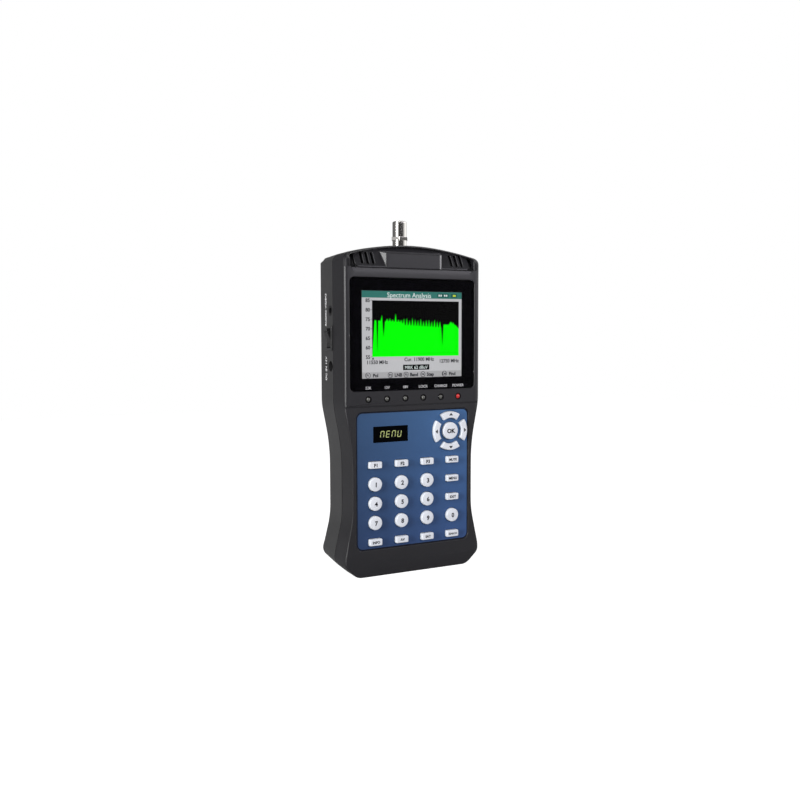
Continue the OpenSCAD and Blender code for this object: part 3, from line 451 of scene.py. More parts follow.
# Finishes by material slot. A plastic has its colour, cloud, roughness, gloss spread, grain size and grain
# depth, and a metal its colour, patches, roughness and gloss spread
FINISHES = {
    "case_front": front_shell(),
    "case_rear": rear_shell(),
    "window": clear_window(),
    "gasket": moulded("black_border", (0.0022, 0.002, 0.0032), 0.05, 0.5, 0.05, 0.2, 0.001,
                      specular_ior_level=0.0),
    "display": moulded("display_frame", (0.02, 0.02, 0.021), 0.05, 0.4, 0.05, 0.2, 0.002),
    "panel": panel_film(),
    "digits": moulded("digit_filter", (0.0012, 0.0013, 0.0018), 0.05, 0.3, 0.04, 0.5, 0.001,
                      specular_ior_level=0.02),
    "lamp_clear": lamp_resin("clear_lamp", (0.13, 0.13, 0.115), 0.25),
    "lamp_red": lamp_resin("red_lamp", (0.50, 0.02, 0.02), 0.3, (1.0, 0.04, 0.04), 0.16),
    "mat": moulded("rubber_mat", (0.055, 0.06, 0.065), 0.08, 0.75, 0.1, 0.3, 0.01),
    "board": circuit_board(),
    "black_plastic": moulded("black_plastic", (0.010, 0.010, 0.011), 0.05, 0.4, 0.1, 0.25, 0.005),
    "brass": metal("turned_brass", (0.75, 0.55, 0.22), 0.1, 0.22, 0.12),
    "steel": metal("zinc_steel", (0.55, 0.56, 0.58), 0.12, 0.28, 0.15),
    "can": metal("tinned_sheet", (0.62, 0.63, 0.64), 0.12, 0.3, 0.1),
    "nickel": metal("polished_nickel", (0.67, 0.65, 0.62), 0.04, 0.06, 0.03),
    "insulator": moulded("insulator_plastic", (0.82, 0.81, 0.77), 0.04, 0.4, 0.08, 0.3, 0.004),
    "rocker": moulded("rocker_plastic", (0.012, 0.012, 0.013), 0.05, 0.26, 0.06, 0.25, 0.002),
    "battery": moulded("cell_sleeve", (0.03, 0.12, 0.30), 0.06, 0.3, 0.08, 0.8, 0.01),
    "keys": moulded("key_plastic", (0.82, 0.85, 0.89), 0.025, 0.4, 0.08, 0.25, 0.004),
}
# Nodes whose finish differs from that of their material slot
NODE_FINISHES = {
    "switch_frame": moulded("bezel_plastic", (0.036, 0.036, 0.037), 0.05, 0.3, 0.08, 0.25, 0.004),
}
SLOT_OF = {part["node"]: part["material_slot"] for part in frame["record"]["subparts"]}

# Finishes of the pieces that are added to the nodes
DIGIT_LIT = lit("digit_lit", (0.56, 0.62, 0.25))
DIGIT_UNLIT = moulded("digit_unlit", (0.012, 0.013, 0.010), 0.05, 0.3, 0.05, 0.4, 0.001)
KEY_INK = moulded("key_ink", (0.012, 0.012, 0.016), 0.1, 0.5, 0.1, 0.3, 0.002, specular_ior_level=0.1)
# Painted shade of the groove round the panel
GROOVE_PAINTED_SHADE = moulded("groove_painted_shade", (0.006, 0.008, 0.018), 0.05, 0.5, 0.1, 0.3, 0.002, specular_ior_level=0.2)
# Black of the lamp collars: the dark gap round a lamp, with painted shade beside its tip
COLLAR_GAP_AND_SHADE = moulded("collar_gap_and_shade", (0.002, 0.002, 0.0025), 0.05, 0.4, 0.1, 0.3, 0.002,
                       specular_ior_level=0.1)
PALE_INK = moulded("pale_ink", (0.80, 0.80, 0.81), 0.05, 0.5, 0.1, 0.3, 0.002)


# Shading and small edge rounds of the CAD nodes

SHARP_ANGLE = math.radians(30)
FLAT_ANGLE = math.radians(0.5)
TRIANGLE_GAP = 0.002 * MM
# Width of the edge rounds, by node
EDGES = {"front_case": 0.35 * MM, "keypad_panel": 0.1 * MM, "switch_frame": 0.2 * MM,
         "power_rocker": 0.15 * MM, "display_window": 0.1 * MM}


def even_shading_group():
    """Joins loose triangles and smooths them, except across sharp edges."""
    group = bpy.data.node_groups.new("even_shading", "GeometryNodeTree")
    for direction in ("INPUT", "OUTPUT"):
        group.interface.new_socket("Mesh", in_out=direction, socket_type="NodeSocketGeometry")
    merge = add_node(group, "GeometryNodeMergeByDistance", {"Distance": TRIANGLE_GAP})
    smooth = add_node(group, "GeometryNodeSetShadeSmooth", domain="FACE")
    crease = add_node(group, "GeometryNodeSetShadeSmooth", {"Shade Smooth": False}, domain="EDGE")
    angle = add_node(group, "GeometryNodeInputMeshEdgeAngle")
    sharp = add_node(group, "FunctionNodeCompare", {"B": SHARP_ANGLE}, operation="GREATER_THAN")
    group.links.new(angle.outputs["Unsigned Angle"], sharp.inputs["A"])
    group.links.new(sharp.outputs["Result"], crease.inputs["Selection"])
    chain = [group.nodes.new("NodeGroupInput"), merge, smooth, crease, group.nodes.new("NodeGroupOutput")]
    for before, after in zip(chain, chain[1:]):
        group.links.new(before.outputs[0], after.inputs[0])
    return group


EVEN_SHADING = even_shading_group()


def round_edges(node, width):
    """Rounds a node's sharp edges, after the triangles of each flat face are joined."""
    flat = node.modifiers.new("flat_faces", "DECIMATE")
    flat.decimate_type = "DISSOLVE"
    flat.angle_limit = FLAT_ANGLE
    rounds = node.modifiers.new("edge_rounds", "BEVEL")
    rounds.width = width
    rounds.segments = 2
    rounds.limit_method = "ANGLE"
    rounds.angle_limit = SHARP_ANGLE
    rounds.use_clamp_overlap = False


def dress_node(name):
    """Gives a CAD node its finish, even shading and, where it has a width, its edge rounds."""
    node = nodes[name]
    node.material_slots[0].material = NODE_FINISHES.get(name, FINISHES[SLOT_OF[name]])
    node.modifiers.new("even_shading", "NODES").node_group = EVEN_SHADING
    if name in EDGES:
        round_edges(node, EDGES[name])
    node.modifiers.new("weighted_normals", "WEIGHTED_NORMAL").keep_sharp = True


# Pieces

# Height of a capital as a share of the letters' size, and steps of a letter's curves
CAPITAL, LETTER_STEPS = 0.729, 3
# Points of a drawing and of a finished mesh that are this close are one
DRAWING_GAP, MESH_GAP = 0.0005 * MM, 0.0001 * MM


def new_piece(name, mesh, finish, body):
    """Adds a piece that rides on a body, with a finish of its own."""
    piece = bpy.data.objects.new(name, mesh)
    bpy.context.scene.collection.objects.link(piece)
    mesh.materials.clear()
    mesh.materials.append(finish)
    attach(piece, body)
    return piece


def mesh_from(bm, name):
    """Makes a clean mesh of a bmesh, with its faces pointing outwards."""
    bmesh.ops.remove_doubles(bm, verts=bm.verts[:], dist=MESH_GAP)
    bmesh.ops.recalc_face_normals(bm, faces=bm.faces[:])
    mesh = bpy.data.meshes.new(name)
    bm.to_mesh(mesh)
    bm.free()
    return mesh


def turned_piece(name, bm, finish):
    """A piece of the meter with its turned faces smooth and its edges crisp."""
    for face in bm.faces:
        face.smooth = True
    piece = new_piece(name, mesh_from(bm, name), finish, METER)
    piece.modifiers.new("even_shading", "NODES").node_group = EVEN_SHADING
    return piece


def turn_section(bm, section, centre, axis, steps):
    """Adds a ring: a closed section, turned once round an axis."""
    points = [bm.verts.new(point) for point in section]
    edges = [bm.edges.new(ends) for ends in zip(points, points[1:] + points[:1])]
    bmesh.ops.spin(bm, geom=points + edges, cent=centre, axis=axis, angle=math.tau, steps=steps,
                   use_merge=True)


def letters(bm, words, height, middle, align="CENTER", bold=0.0):
    """Adds words to a flat drawing: letters as tall as a capital of the height, in the XY plane."""
    curve = bpy.data.curves.new("letters", "FONT")
    curve.body = words
    curve.align_x = align
    curve.size = height / CAPITAL
    curve.offset = bold
    curve.resolution_u = LETTER_STEPS
    maker = bpy.data.objects.new("letters", curve)
    bpy.context.scene.collection.objects.link(maker)
    graph = bpy.context.evaluated_depsgraph_get()
    mesh = bpy.data.meshes.new_from_object(maker.evaluated_get(graph))
    mesh.transform(Matrix.Translation((middle[0], middle[1] - height / 2, 0.0)))
    bm.from_mesh(mesh)
    bpy.data.objects.remove(maker)
    bpy.data.curves.remove(curve)
    bpy.data.meshes.remove(mesh)


def rectangle(bm, left, low, right, high):
    """Adds a flat rectangle to a drawing."""
    place = Matrix.Translation(((left + right) / 2, (low + high) / 2, 0.0))
    size = Matrix.Diagonal(((right - left) / 2, (high - low) / 2, 1.0, 1.0))
    bmesh.ops.create_grid(bm, x_segments=1, y_segments=1, size=1.0, matrix=place @ size)


def disc(bm, middle, radius, corners):
    """Adds a flat disc, or with three corners a flat triangle, to a drawing."""
    place = Matrix.Translation((middle[0], middle[1], 0.0))
    bmesh.ops.create_circle(bm, cap_ends=True, segments=corners, radius=radius, matrix=place)


def cut_corners(bm, offset, segments):
    """Rounds or mitres the corners of a flat drawing."""
    bmesh.ops.bevel(bm, geom=bm.verts[:], offset=offset, offset_type="OFFSET", segments=segments, profile=0.5,
                    affect="VERTICES", material=-1)


def to_metres(bm):
    """Scales a drawing that was made in millimetres."""
    bmesh.ops.scale(bm, vec=(MM, MM, MM), verts=bm.verts[:])


def extrude_faces(bm, faces, rise):
    """Thickens flat faces along Z; returns the raised points."""
    grown = bmesh.ops.extrude_face_region(bm, geom=faces)["geom"]
    raised = [v for v in grown if isinstance(v, bmesh.types.BMVert)]
    bmesh.ops.translate(bm, vec=(0.0, 0.0, rise), verts=raised)
    return raised


def printed(name, bm, origin, turned, thick, finish, body):
    """Thickens a flat drawing and stands it at its place, facing outwards."""
    bmesh.ops.remove_doubles(bm, verts=bm.verts[:], dist=DRAWING_GAP)
    extrude_faces(bm, bm.faces[:], thick)
    mesh = mesh_from(bm, name)
    mesh.transform(Matrix.Translation(origin) @ turned.to_4x4())
    new_piece(name, mesh, finish, body)


def node_middle(name):
    low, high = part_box(name)
    return (low + high) / 2


# Thickness of one layer of the screen's picture
LAYER = 0.03 * MM
# The picture, in millimetres from its middle. A rectangle is its left, low, right and high edge
HALF_W, HALF_H = 70.08 / 2, 52.56 / 2
TITLE_LOW, STRIP_HIGH = 22.2, -22.6
PLOT = (-28.2, -13.3, 33.0, 20.6)
READING = (-7.1, -21.7, 11.5, -18.4)
WORD_BOLD = 0.08
# Axis: its levels and their step, height and right end of its numbers, its ticks' left end and half thickness
LEVELS, LEVEL_STEP = (55, 85), 5
NUMBER_CAPITAL, NUMBER_END = 2.2, -29.6
TICK_LEFT, TICK_HALF = -29.3, 0.12
MARKER_AT, MARKER_R = (-27.7, -14.4), 0.95
AXIS_CAPITAL = 2.25
AXIS_WORDS = (("11550 MHz", (-24.9, -16.5)), ("Cur. 11900 MHz", (4.3, -15.1)), ("12750 MHz", (25.8, -16.4)))
# Strip of key signs: height of its middle, its words, and the signs with their outer and inner radius
STRIP_MIDDLE, STRIP_CAPITAL, STRIP_BOLD = -24.5, 2.1, 0.11
STRIP_WORDS = (("Pol", -26.0), ("LNB", -10.4), ("Band", 0.6), ("Step", 12.2), ("Find", 28.2))
STRIP_SIGNS = (("F1", -31.2), ("F2", -15.9), ("F3", -5.0), ("F4", 6.9), ("OK", 22.4))
SIGN_RIM, SIGN_R, SIGN_CORNERS = 1.75, 1.38, 20
SIGN_CAPITAL, SIGN_BOLD = 1.5, 0.1
# Pale words: the words, their height and their middle
PALE_WORDS = (("Spectrum Analysis", 3.05, (-2.6, 24.1)), ("MRK 62 dBuV", 2.05, (2.2, -20.05)))
# Small signs in the title bar: middles and half width of the bars, their low and high edge, the
# battery, and the dark backs
BARS, BAR_HALF, BAR_LOW, BAR_HIGH = (18.6, 20.0, 22.6, 24.0), 0.45, 23.6, 24.7
BATTERY, BATTERY_TIP = (28.6, BAR_LOW, 30.5, BAR_HIGH), (30.5, 23.9, 30.9, 24.4)
SIGN_BACKS = ((17.3, 23.0, 25.4, 25.3), (27.2, 23.0, 31.6, 25.3))

SCREEN_INKS = {
    "ground": (0.59, 0.585, 0.60),
    "strip": (0.45, 0.445, 0.455),
    "teal": (0.042, 0.195, 0.165),
    "deep_teal": (0.022, 0.11, 0.095),
    "black": (0.0006, 0.0006, 0.0008),
    "green": (0.0, 1.12, 0.0),
    "white": (0.82, 0.90, 0.88),
    "ink": (0.015, 0.015, 0.02),
    "battery": (0.62, 0.75, 0.05),
}
SCREEN_FINISH = {ink: lit("screen_" + ink, colour) for ink, colour in SCREEN_INKS.items()}


def screen_layer(name, bm, layer, ink):
    """Places a flat drawing of the picture on the display glass, in front of the layers below it."""
    to_metres(bm)
    origin = SCREEN - Vector((0.0, layer * LAYER, 0.0))
    printed("screen_" + name, bm, origin, FRONT, LAYER, SCREEN_FINISH[ink], METER)


def screen_fields(name, layer, ink, *rectangles):
    """One layer of the picture that is made of plain rectangles."""
    bm = bmesh.new()
    for corners in rectangles:
        rectangle(bm, *corners)
    screen_layer(name, bm, layer, ink)


def level_height(level):
    return PLOT[1] + (level - LEVELS[0]) / (LEVELS[1] - LEVELS[0]) * (PLOT[3] - PLOT[1])


# Signal over the plot, by share of its width. Single carriers and dips: place, half width, height
CARRIERS = ((0.107, 0.011, 3.0), (0.262, 0.011, 2.8), (0.905, 0.025, 1.8), (0.935, 0.012, 1.4))
DIPS = ((0.0, 0.026, 20.0), (0.057, 0.010, 18.0), (0.127, 0.016, 8.5), (0.802, 0.014, 11.0), (1.0, 0.04, 2.0))
# Stretches with a comb of carriers: start, end, count, height. Then a carrier's half width, as a share of
# its step, and the way that its height varies along the comb
COMBS = ((0.15, 0.34, 6, 1.8), (0.34, 0.79, 14, 4.2))
COMB_HALF, COMB_UNEVEN, COMB_WAVE = 0.34, 0.15, 2.4
# Floor under the carriers: share of the width and level, joined by straight lines
SIGNAL_FLOOR = ((0.0, 74.6), (0.15, 74.0), (0.33, 73.4), (0.36, 71.9), (0.785, 70.7), (0.82, 72.3),
                (1.0, 72.0))
PLOT_COLUMNS = 400


def peak(t, middle, half_width):
    return max(1.0 - abs(t - middle) / half_width, 0.0)


def floor_level(t):
    for (start, low), (end, high) in zip(SIGNAL_FLOOR, SIGNAL_FLOOR[1:]):
        if t <= end:
            return low + (high - low) * (t - start) / (end - start)
    return SIGNAL_FLOOR[-1][1]


def spectrum_level(t):
    """Level of the signal at a share of the plot's width: a falling floor with combs of narrow carriers."""
    level = floor_level(t)
    for start, end, count, height in COMBS:
        if start < t < end:
            place = (t - start) / (end - start) * count
            uneven = 1.0 - COMB_UNEVEN + COMB_UNEVEN * math.sin(COMB_WAVE * math.floor(place))
            level += height * uneven * peak(place % 1.0, 0.5, COMB_HALF)
    for middle, half_width, height in CARRIERS:
        level += height * peak(t, middle, half_width)
    for middle, half_width, depth in DIPS:
        level -= depth * peak(t, middle, half_width)
    return level


def spectrum():
    """The lit area under the signal, as one strip whose upper points follow the level."""
    bm = bmesh.new()
    bmesh.ops.create_grid(bm, x_segments=PLOT_COLUMNS, y_segments=1, size=0.5)
    for v in bm.verts:
        t = v.co.x + 0.5
        v.co.x = PLOT[0] + t * (PLOT[2] - PLOT[0])
        v.co.y = level_height(spectrum_level(t)) if v.co.y > 0 else PLOT[1]
    screen_layer("spectrum", bm, 3, "green")


def dark_words():
    """The plot's axis with its numbers and words, and the strip's words and the rims of its signs."""
    bm = bmesh.new()
    for level in range(LEVELS[0], LEVELS[1] + 1, LEVEL_STEP):
        z = level_height(level)
        letters(bm, str(level), NUMBER_CAPITAL, (NUMBER_END, z), "RIGHT", WORD_BOLD)
        rectangle(bm, TICK_LEFT, z - TICK_HALF, PLOT[0], z + TICK_HALF)
    disc(bm, MARKER_AT, MARKER_R, 3)
    for words, middle in AXIS_WORDS:
        letters(bm, words, AXIS_CAPITAL, middle, bold=WORD_BOLD)
    for words, across in STRIP_WORDS:
        letters(bm, words, STRIP_CAPITAL, (across, STRIP_MIDDLE), bold=STRIP_BOLD)
    for _, across in STRIP_SIGNS:
        disc(bm, (across, STRIP_MIDDLE), SIGN_RIM, SIGN_CORNERS)
    screen_layer("axis_and_words", bm, 3, "ink")


def pale_words():
    """The title, the reading and the bars of the signs in the title bar."""
    bm = bmesh.new()
    for words, height, middle in PALE_WORDS:
        letters(bm, words, height, middle)
    for across in BARS:
        rectangle(bm, across - BAR_HALF, BAR_LOW, across + BAR_HALF, BAR_HIGH)
    screen_layer("title_words", bm, 4, "white")


def strip_signs():
    """The pale rounds of the strip's signs, with their words."""
    rounds, signs = bmesh.new(), bmesh.new()
    for words, across in STRIP_SIGNS:
        disc(rounds, (across, STRIP_MIDDLE), SIGN_R, SIGN_CORNERS)
        letters(signs, words, SIGN_CAPITAL, (across, STRIP_MIDDLE), bold=SIGN_BOLD)
    screen_layer("key_signs", rounds, 4, "ground")
    screen_layer("key_sign_words", signs, 5, "ink")


def screen_picture():
    screen_fields("ground", 1, "ground", (-HALF_W, -HALF_H, HALF_W, HALF_H))
    screen_fields("title_bar", 2, "teal", (-HALF_W, TITLE_LOW, HALF_W, HALF_H))
    screen_fields("key_strip", 2, "strip", (-HALF_W, -HALF_H, HALF_W, STRIP_HIGH))
    screen_fields("plot_field", 2, "black", PLOT, READING)
    spectrum()
    dark_words()
    pale_words()
    screen_fields("battery_sign", 4, "battery", BATTERY, BATTERY_TIP)
    screen_fields("title_sign_backs", 3, "deep_teal", *SIGN_BACKS)
    strip_signs()


# Digit display: four slanted characters of seven segments each, in millimetres
SEGMENT_W = 0.46
SEGMENT_MITRE, SEGMENT_GAP = SEGMENT_W * 0.42, SEGMENT_W * 0.35
CHARACTER_W, CHARACTER_H = 2.2, 3.7
CHARACTER_PITCH, CHARACTER_SHIFT = 3.95, 0.15
SLANT = math.tan(math.radians(9))
DIGIT_THICK = 0.03 * MM
# Middle of each segment, in half widths and half heights, and whether it stands upright
SEGMENTS = {"a": (0, 1, False), "b": (1, 0.5, True), "c": (1, -0.5, True), "d": (0, -1, False),
            "e": (-1, -0.5, True), "f": (-1, 0.5, True), "g": (0, 0, False)}
CHARACTERS = ("abcef", "adefg", "abcef", "bcdef")


def segment(bm, middle, length, upright):
    """One bar of a character with mitred ends."""
    bar = bmesh.new()
    rectangle(bar, -length / 2, -SEGMENT_W / 2, length / 2, SEGMENT_W / 2)
    cut_corners(bar, SEGMENT_MITRE, 1)
    if upright:
        bmesh.ops.rotate(bar, cent=(0, 0, 0), matrix=Matrix.Rotation(math.pi / 2, 3, "Z"), verts=bar.verts[:])
    bmesh.ops.translate(bar, vec=(*middle, 0.0), verts=bar.verts[:])
    part = bpy.data.meshes.new("segment")
    bar.to_mesh(part)
    bar.free()
    bm.from_mesh(part)
    bpy.data.meshes.remove(part)


def digit_characters():
    face = node_middle("digit_display")
    face.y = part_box("digit_display")[0].y
    shown, unlit = bmesh.new(), bmesh.new()
    for place, bars in enumerate(CHARACTERS):
        start = (place - (len(CHARACTERS) - 1) / 2) * CHARACTER_PITCH + CHARACTER_SHIFT
        for name, (x, y, upright) in SEGMENTS.items():
            length = (CHARACTER_H / 2 if upright else CHARACTER_W) - SEGMENT_GAP
            middle = (start + x * CHARACTER_W / 2, y * CHARACTER_H / 2)
            segment(shown if name in bars else unlit, middle, length, upright)
    for name, bm, finish in (("digits_lit", shown, DIGIT_LIT), ("digits_unlit", unlit, DIGIT_UNLIT)):
        for v in bm.verts:
            v.co.x += v.co.y * SLANT
        to_metres(bm)
        printed(name, bm, face, FRONT, DIGIT_THICK, finish, METER)


# Key legends, each riding on its key: how far the ink stands out of the key and reaches into it
INK_PROUD, INK_SUNK = 0.012 * MM, 0.08 * MM
# Height of the capitals and boldness in millimetres, and the words
LEGENDS = (
    (2.7, 0.15, ("1", "2", "3", "4", "5", "6", "7", "8", "9", "0")),
    (2.1, 0.13, ("F1", "F2", "F3")),
    (1.6, 0.09, ("MUTE", "MENU", "EXIT", "INFO", "AV", "SAT")),
    (1.25, 0.07, ("SEARCH",)),
    (2.7, 0.16, ("OK",)),
)
# Arrows: their turn in degrees, distance from the middle key, size in millimetres, and stretch
ARROWS = (("up", 0), ("left", 90), ("down", 180), ("right", 270))
ARROW_REACH = 10.2 * MM
ARROW_R, ARROW_STRETCH = 1.45, (1.1, 0.75, 1.0)


def legend(key, bm, middle):
    """Prints a drawing in millimetres on a key's top."""
    to_metres(bm)
    origin = Vector((middle.x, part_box(key)[0].y + INK_SUNK, middle.z))
    printed(key + "_legend", bm, origin, FRONT, INK_SUNK + INK_PROUD, KEY_INK, key)


def key_legends():
    for height, bold, words in LEGENDS:
        for word in words:
            bm = bmesh.new()
            letters(bm, word, height, (0.0, 0.0), bold=bold)
            key = "key_" + word.lower()
            legend(key, bm, node_middle(key))
    hub = node_middle("key_ok")
    for way, angle in ARROWS:
        turn = Matrix.Rotation(math.radians(angle), 3, "Z")
        bm = bmesh.new()
        disc(bm, (0.0, 0.0), ARROW_R, 3)
        bmesh.ops.scale(bm, vec=ARROW_STRETCH, verts=bm.verts[:])
        bmesh.ops.rotate(bm, cent=(0, 0, 0), matrix=turn, verts=bm.verts[:])
        out = turn @ Vector((0.0, ARROW_REACH, 0.0))
        legend("key_" + way, bm, hub + Vector((out.x, 0.0, out.y)))


# Dark line of painted shade round the panel, where the film dips into its seat, and the panel's corners
GROOVE_W, GROOVE_THICK = 0.55 * MM, 0.015 * MM
PANEL_R, PANEL_STEPS = 4.0 * MM, 8


# A thin dark ring on the film's edge: painted shade of the recess wall round the panel
def panel_groove():
    low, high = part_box("keypad_panel")
    bm = bmesh.new()
    rectangle(bm, low.x, low.z, high.x, high.z)
    cut_corners(bm, PANEL_R, PANEL_STEPS)
    middle = bm.faces[:]
    bmesh.ops.inset_individual(bm, faces=middle, thickness=GROOVE_W, use_even_offset=True)
    bmesh.ops.delete(bm, geom=middle, context="FACES")
    printed("panel_groove", bm, Vector((0.0, low.y, 0.0)), FRONT, GROOVE_THICK, GROOVE_PAINTED_SHADE, METER)


# Lamps: their labels on the window's border, with their height above its lower edge, and how far a lamp's
# tip stands out
LAMP_WORDS = ("22K", "13V", "18V", "LOCK", "CHARGE", "POWER")
LABEL_CAPITAL, LABEL_RISE, LABEL_THICK = 1.75 * MM, 1.9 * MM, 0.012 * MM
LAMP_PROUD = 0.5 * MM
# Section of the black collar round a lamp, which stands for the dark gap round the lamp and painted shade
# beside its tip: distance from its axis and height above the face, in millimetres
COLLAR = ((1.52, 0.0), (2.1, 0.0), (2.1, 0.03), (2.0, 0.08), (1.64, 0.08), (1.52, 0.03))
COLLAR_STEPS = 32


def lamp_places():
    """The middle of each lamp's tip, from left to right."""
    first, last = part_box("status_leds"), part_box("power_led")
    middle = (last[0] + last[1]) / 2
    left = first[0].x + (last[1].x - last[0].x) / 2
    pitch = (middle.x - left) / (len(LAMP_WORDS) - 1)
    return [Vector((left + pitch * place, last[0].y, middle.z)) for place in range(len(LAMP_WORDS))]


def lamp_labels():
    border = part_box("display_window")[0]
    bm = bmesh.new()
    for place, word in zip(lamp_places(), LAMP_WORDS):
        letters(bm, word, LABEL_CAPITAL, (place.x, border.z + LABEL_RISE))
    printed("lamp_labels", bm, Vector((0.0, border.y, 0.0)), FRONT, LABEL_THICK, PALE_INK, METER)


def lamp_collars():
    bm = bmesh.new()
    for place in lamp_places():
        face = place.y + LAMP_PROUD
        section = [(place.x + r * MM, face - rise * MM, place.z) for r, rise in COLLAR]
        turn_section(bm, section, place, (0, 1, 0), COLLAR_STEPS)
    turned_piece("lamp_collars", bm, COLLAR_GAP_AND_SHADE)


# Words beside the left side's sockets, with their shift up from the socket's middle in millimetres
SIDE_WORDS = (("AUDIO VIDEO", "av_jack", 0.5), ("DC IN 12V", "dc_jack", -1.5))
SIDE_CAPITAL, SIDE_BOLD, SIDE_THICK = 2.3 * MM, 0.07 * MM, 0.02 * MM
# Their distance behind the seam, and the draft of the wall that they are on: its fall over its depth
SIDE_BACK = 11.4 * MM
REAR_DRAFT = 0.8 / 18.4


def side_words():
    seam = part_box("rear_case")[0]
    origin = Vector((seam.x + SIDE_BACK * REAR_DRAFT, seam.y + SIDE_BACK, 0.0))
    turned = Matrix.Rotation(-math.atan(REAR_DRAFT), 3, "Z") @ LEFT_SIDE
    bm = bmesh.new()
    for words, node, up in SIDE_WORDS:
        letters(bm, words, SIDE_CAPITAL, (node_middle(node).z + up * MM, 0.0), bold=SIDE_BOLD)
    printed("side_words", bm, origin, turned, SIDE_THICK, PALE_INK, METER)


# Aerial socket's barrel: its radius, how much lower than the solid it ends, the round of its rim, and the gap
# round its insulator
BARREL_R, BARREL_SHORT, BARREL_RIM, BORE_GAP = 4.45 * MM, 0.5 * MM, 0.8 * MM, 0.05 * MM
RIM_STEPS, BARREL_STEPS = 6, 96
# Its hexagon: height above the case, thickness, how much slimmer than the solid it is, and its edges' bevel
HEX_RISE, HEX_HEIGHT, HEX_SLIM, HEX_BEVEL = 3.8 * MM, 2.1 * MM, 0.4 * MM, 0.12 * MM


def socket_barrel(bm, foot, top, middle):
    """Adds the barrel: a turned tube whose rim is rounded."""
    hole_low, hole_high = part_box("aerial_insulator")
    bore = (hole_high.x - hole_low.x) / 2 + BORE_GAP
    round_r, round_z = BARREL_R - BARREL_RIM, top - BARREL_RIM
    outline = [(bore, foot), (BARREL_R, foot), (BARREL_R, round_z)]
    for step in range(1, RIM_STEPS + 1):
        turn = math.radians(90 * step / RIM_STEPS)
        outline.append((round_r + BARREL_RIM * math.cos(turn), round_z + BARREL_RIM * math.sin(turn)))
    outline.append((bore, top))
    turn_section(bm, [(r, middle.y, z) for r, z in outline], middle, (0, 0, 1), BARREL_STEPS)


def socket_hexagon(bm, radius, middle):
    """Adds the hexagon that a spanner holds, with its edges bevelled."""
    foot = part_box("rear_case")[1].z + HEX_RISE
    place = Matrix.Translation((0.0, middle.y, foot)) @ Matrix.Rotation(math.pi / 6, 4, "Z")
    corners = bmesh.ops.create_circle(bm, cap_ends=True, segments=6, radius=radius, matrix=place)["verts"]
    corners = set(corners + extrude_faces(bm, corners[0].link_faces[:], HEX_HEIGHT))
    edges = [edge for edge in bm.edges if edge.verts[0] in corners]
    bmesh.ops.bevel(bm, geom=edges, offset=HEX_BEVEL, offset_type="OFFSET", segments=2, profile=0.5,
                    affect="EDGES", material=-1)


def aerial_socket():
    low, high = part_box("aerial_socket")
    middle = Vector((0.0, (low.y + high.y) / 2, 0.0))
    bm = bmesh.new()
    socket_barrel(bm, low.z, high.z - BARREL_SHORT, middle)
    socket_hexagon(bm, (high.x - low.x) / 2 - HEX_SLIM, middle)
    piece = turned_piece("aerial_socket_turned", bm, FINISHES["nickel"])
    piece.modifiers.new("weighted_normals", "WEIGHTED_NORMAL").keep_sharp = True
    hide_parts("aerial_socket")


# Studio

# Camera: its place, its turn in degrees, and its lens and sensor in millimetres
CAMERA_AT = Vector((-282.23, -519.24, 148.59)) * MM
CAMERA_YAW, CAMERA_PITCH, CAMERA_ROLL = 28.519, 4.424, -0.134
CAMERA_LENS, CAMERA_SENSOR = 42.045, 36.0
CAMERA_SHIFT_Y = 0.00695
CAMERA_NEAREST = 0.01


def photo_camera():
    """A camera at the photograph's place, aimed by its yaw, pitch and roll."""
    yaw, pitch, roll = (math.radians(a) for a in (CAMERA_YAW, CAMERA_PITCH, CAMERA_ROLL))
    ahead = Vector((math.sin(yaw) * math.cos(pitch), math.cos(yaw) * math.cos(pitch), -math.sin(pitch)))
    right = Vector((math.cos(yaw), -math.sin(yaw), 0.0))
    up = right.cross(ahead)
    turned_right = math.cos(roll) * right + math.sin(roll) * up
    turned_up = math.cos(roll) * up - math.sin(roll) * right
    camera = bpy.data.objects.new("camera", bpy.data.cameras.new("camera"))
    bpy.context.scene.collection.objects.link(camera)
    camera.data.sensor_width = CAMERA_SENSOR
    camera.data.lens = CAMERA_LENS
    camera.data.shift_y = CAMERA_SHIFT_Y
    camera.data.clip_start = CAMERA_NEAREST
    turn = Matrix((turned_right, turned_up, -ahead)).transposed()
    camera.matrix_world = Matrix.Translation(CAMERA_AT) @ turn.to_4x4()
    bpy.context.scene.camera = camera


# Soft lamps: name, place, width and height, power and colour. They all aim at the middle of the meter
SOFT_LAMPS = (("left_strip", (-1.55, -0.5, 0.45), (0.36, 1.0), 25.0, (1.0, 1.0, 1.0)),
              ("front_softbox", (0.82, -1.27, 0.69), (2.2, 0.46), 11.2, (0.98, 0.95, 1.05)))
SOFT_LAMP_AIM = Vector((0.0, 0.0, 0.11))


def soft_lamp(name, place, size, power, colour):
    lamp = bpy.data.objects.new(name, bpy.data.lights.new(name, "AREA"))
    bpy.context.scene.collection.objects.link(lamp)
    lamp.data.shape = "RECTANGLE"
    lamp.data.size, lamp.data.size_y = size
    lamp.data.energy = power
    lamp.data.color = colour
    lamp.location = place
    lamp.rotation_euler = (SOFT_LAMP_AIM - Vector(place)).to_track_quat("-Z", "Y").to_euler()


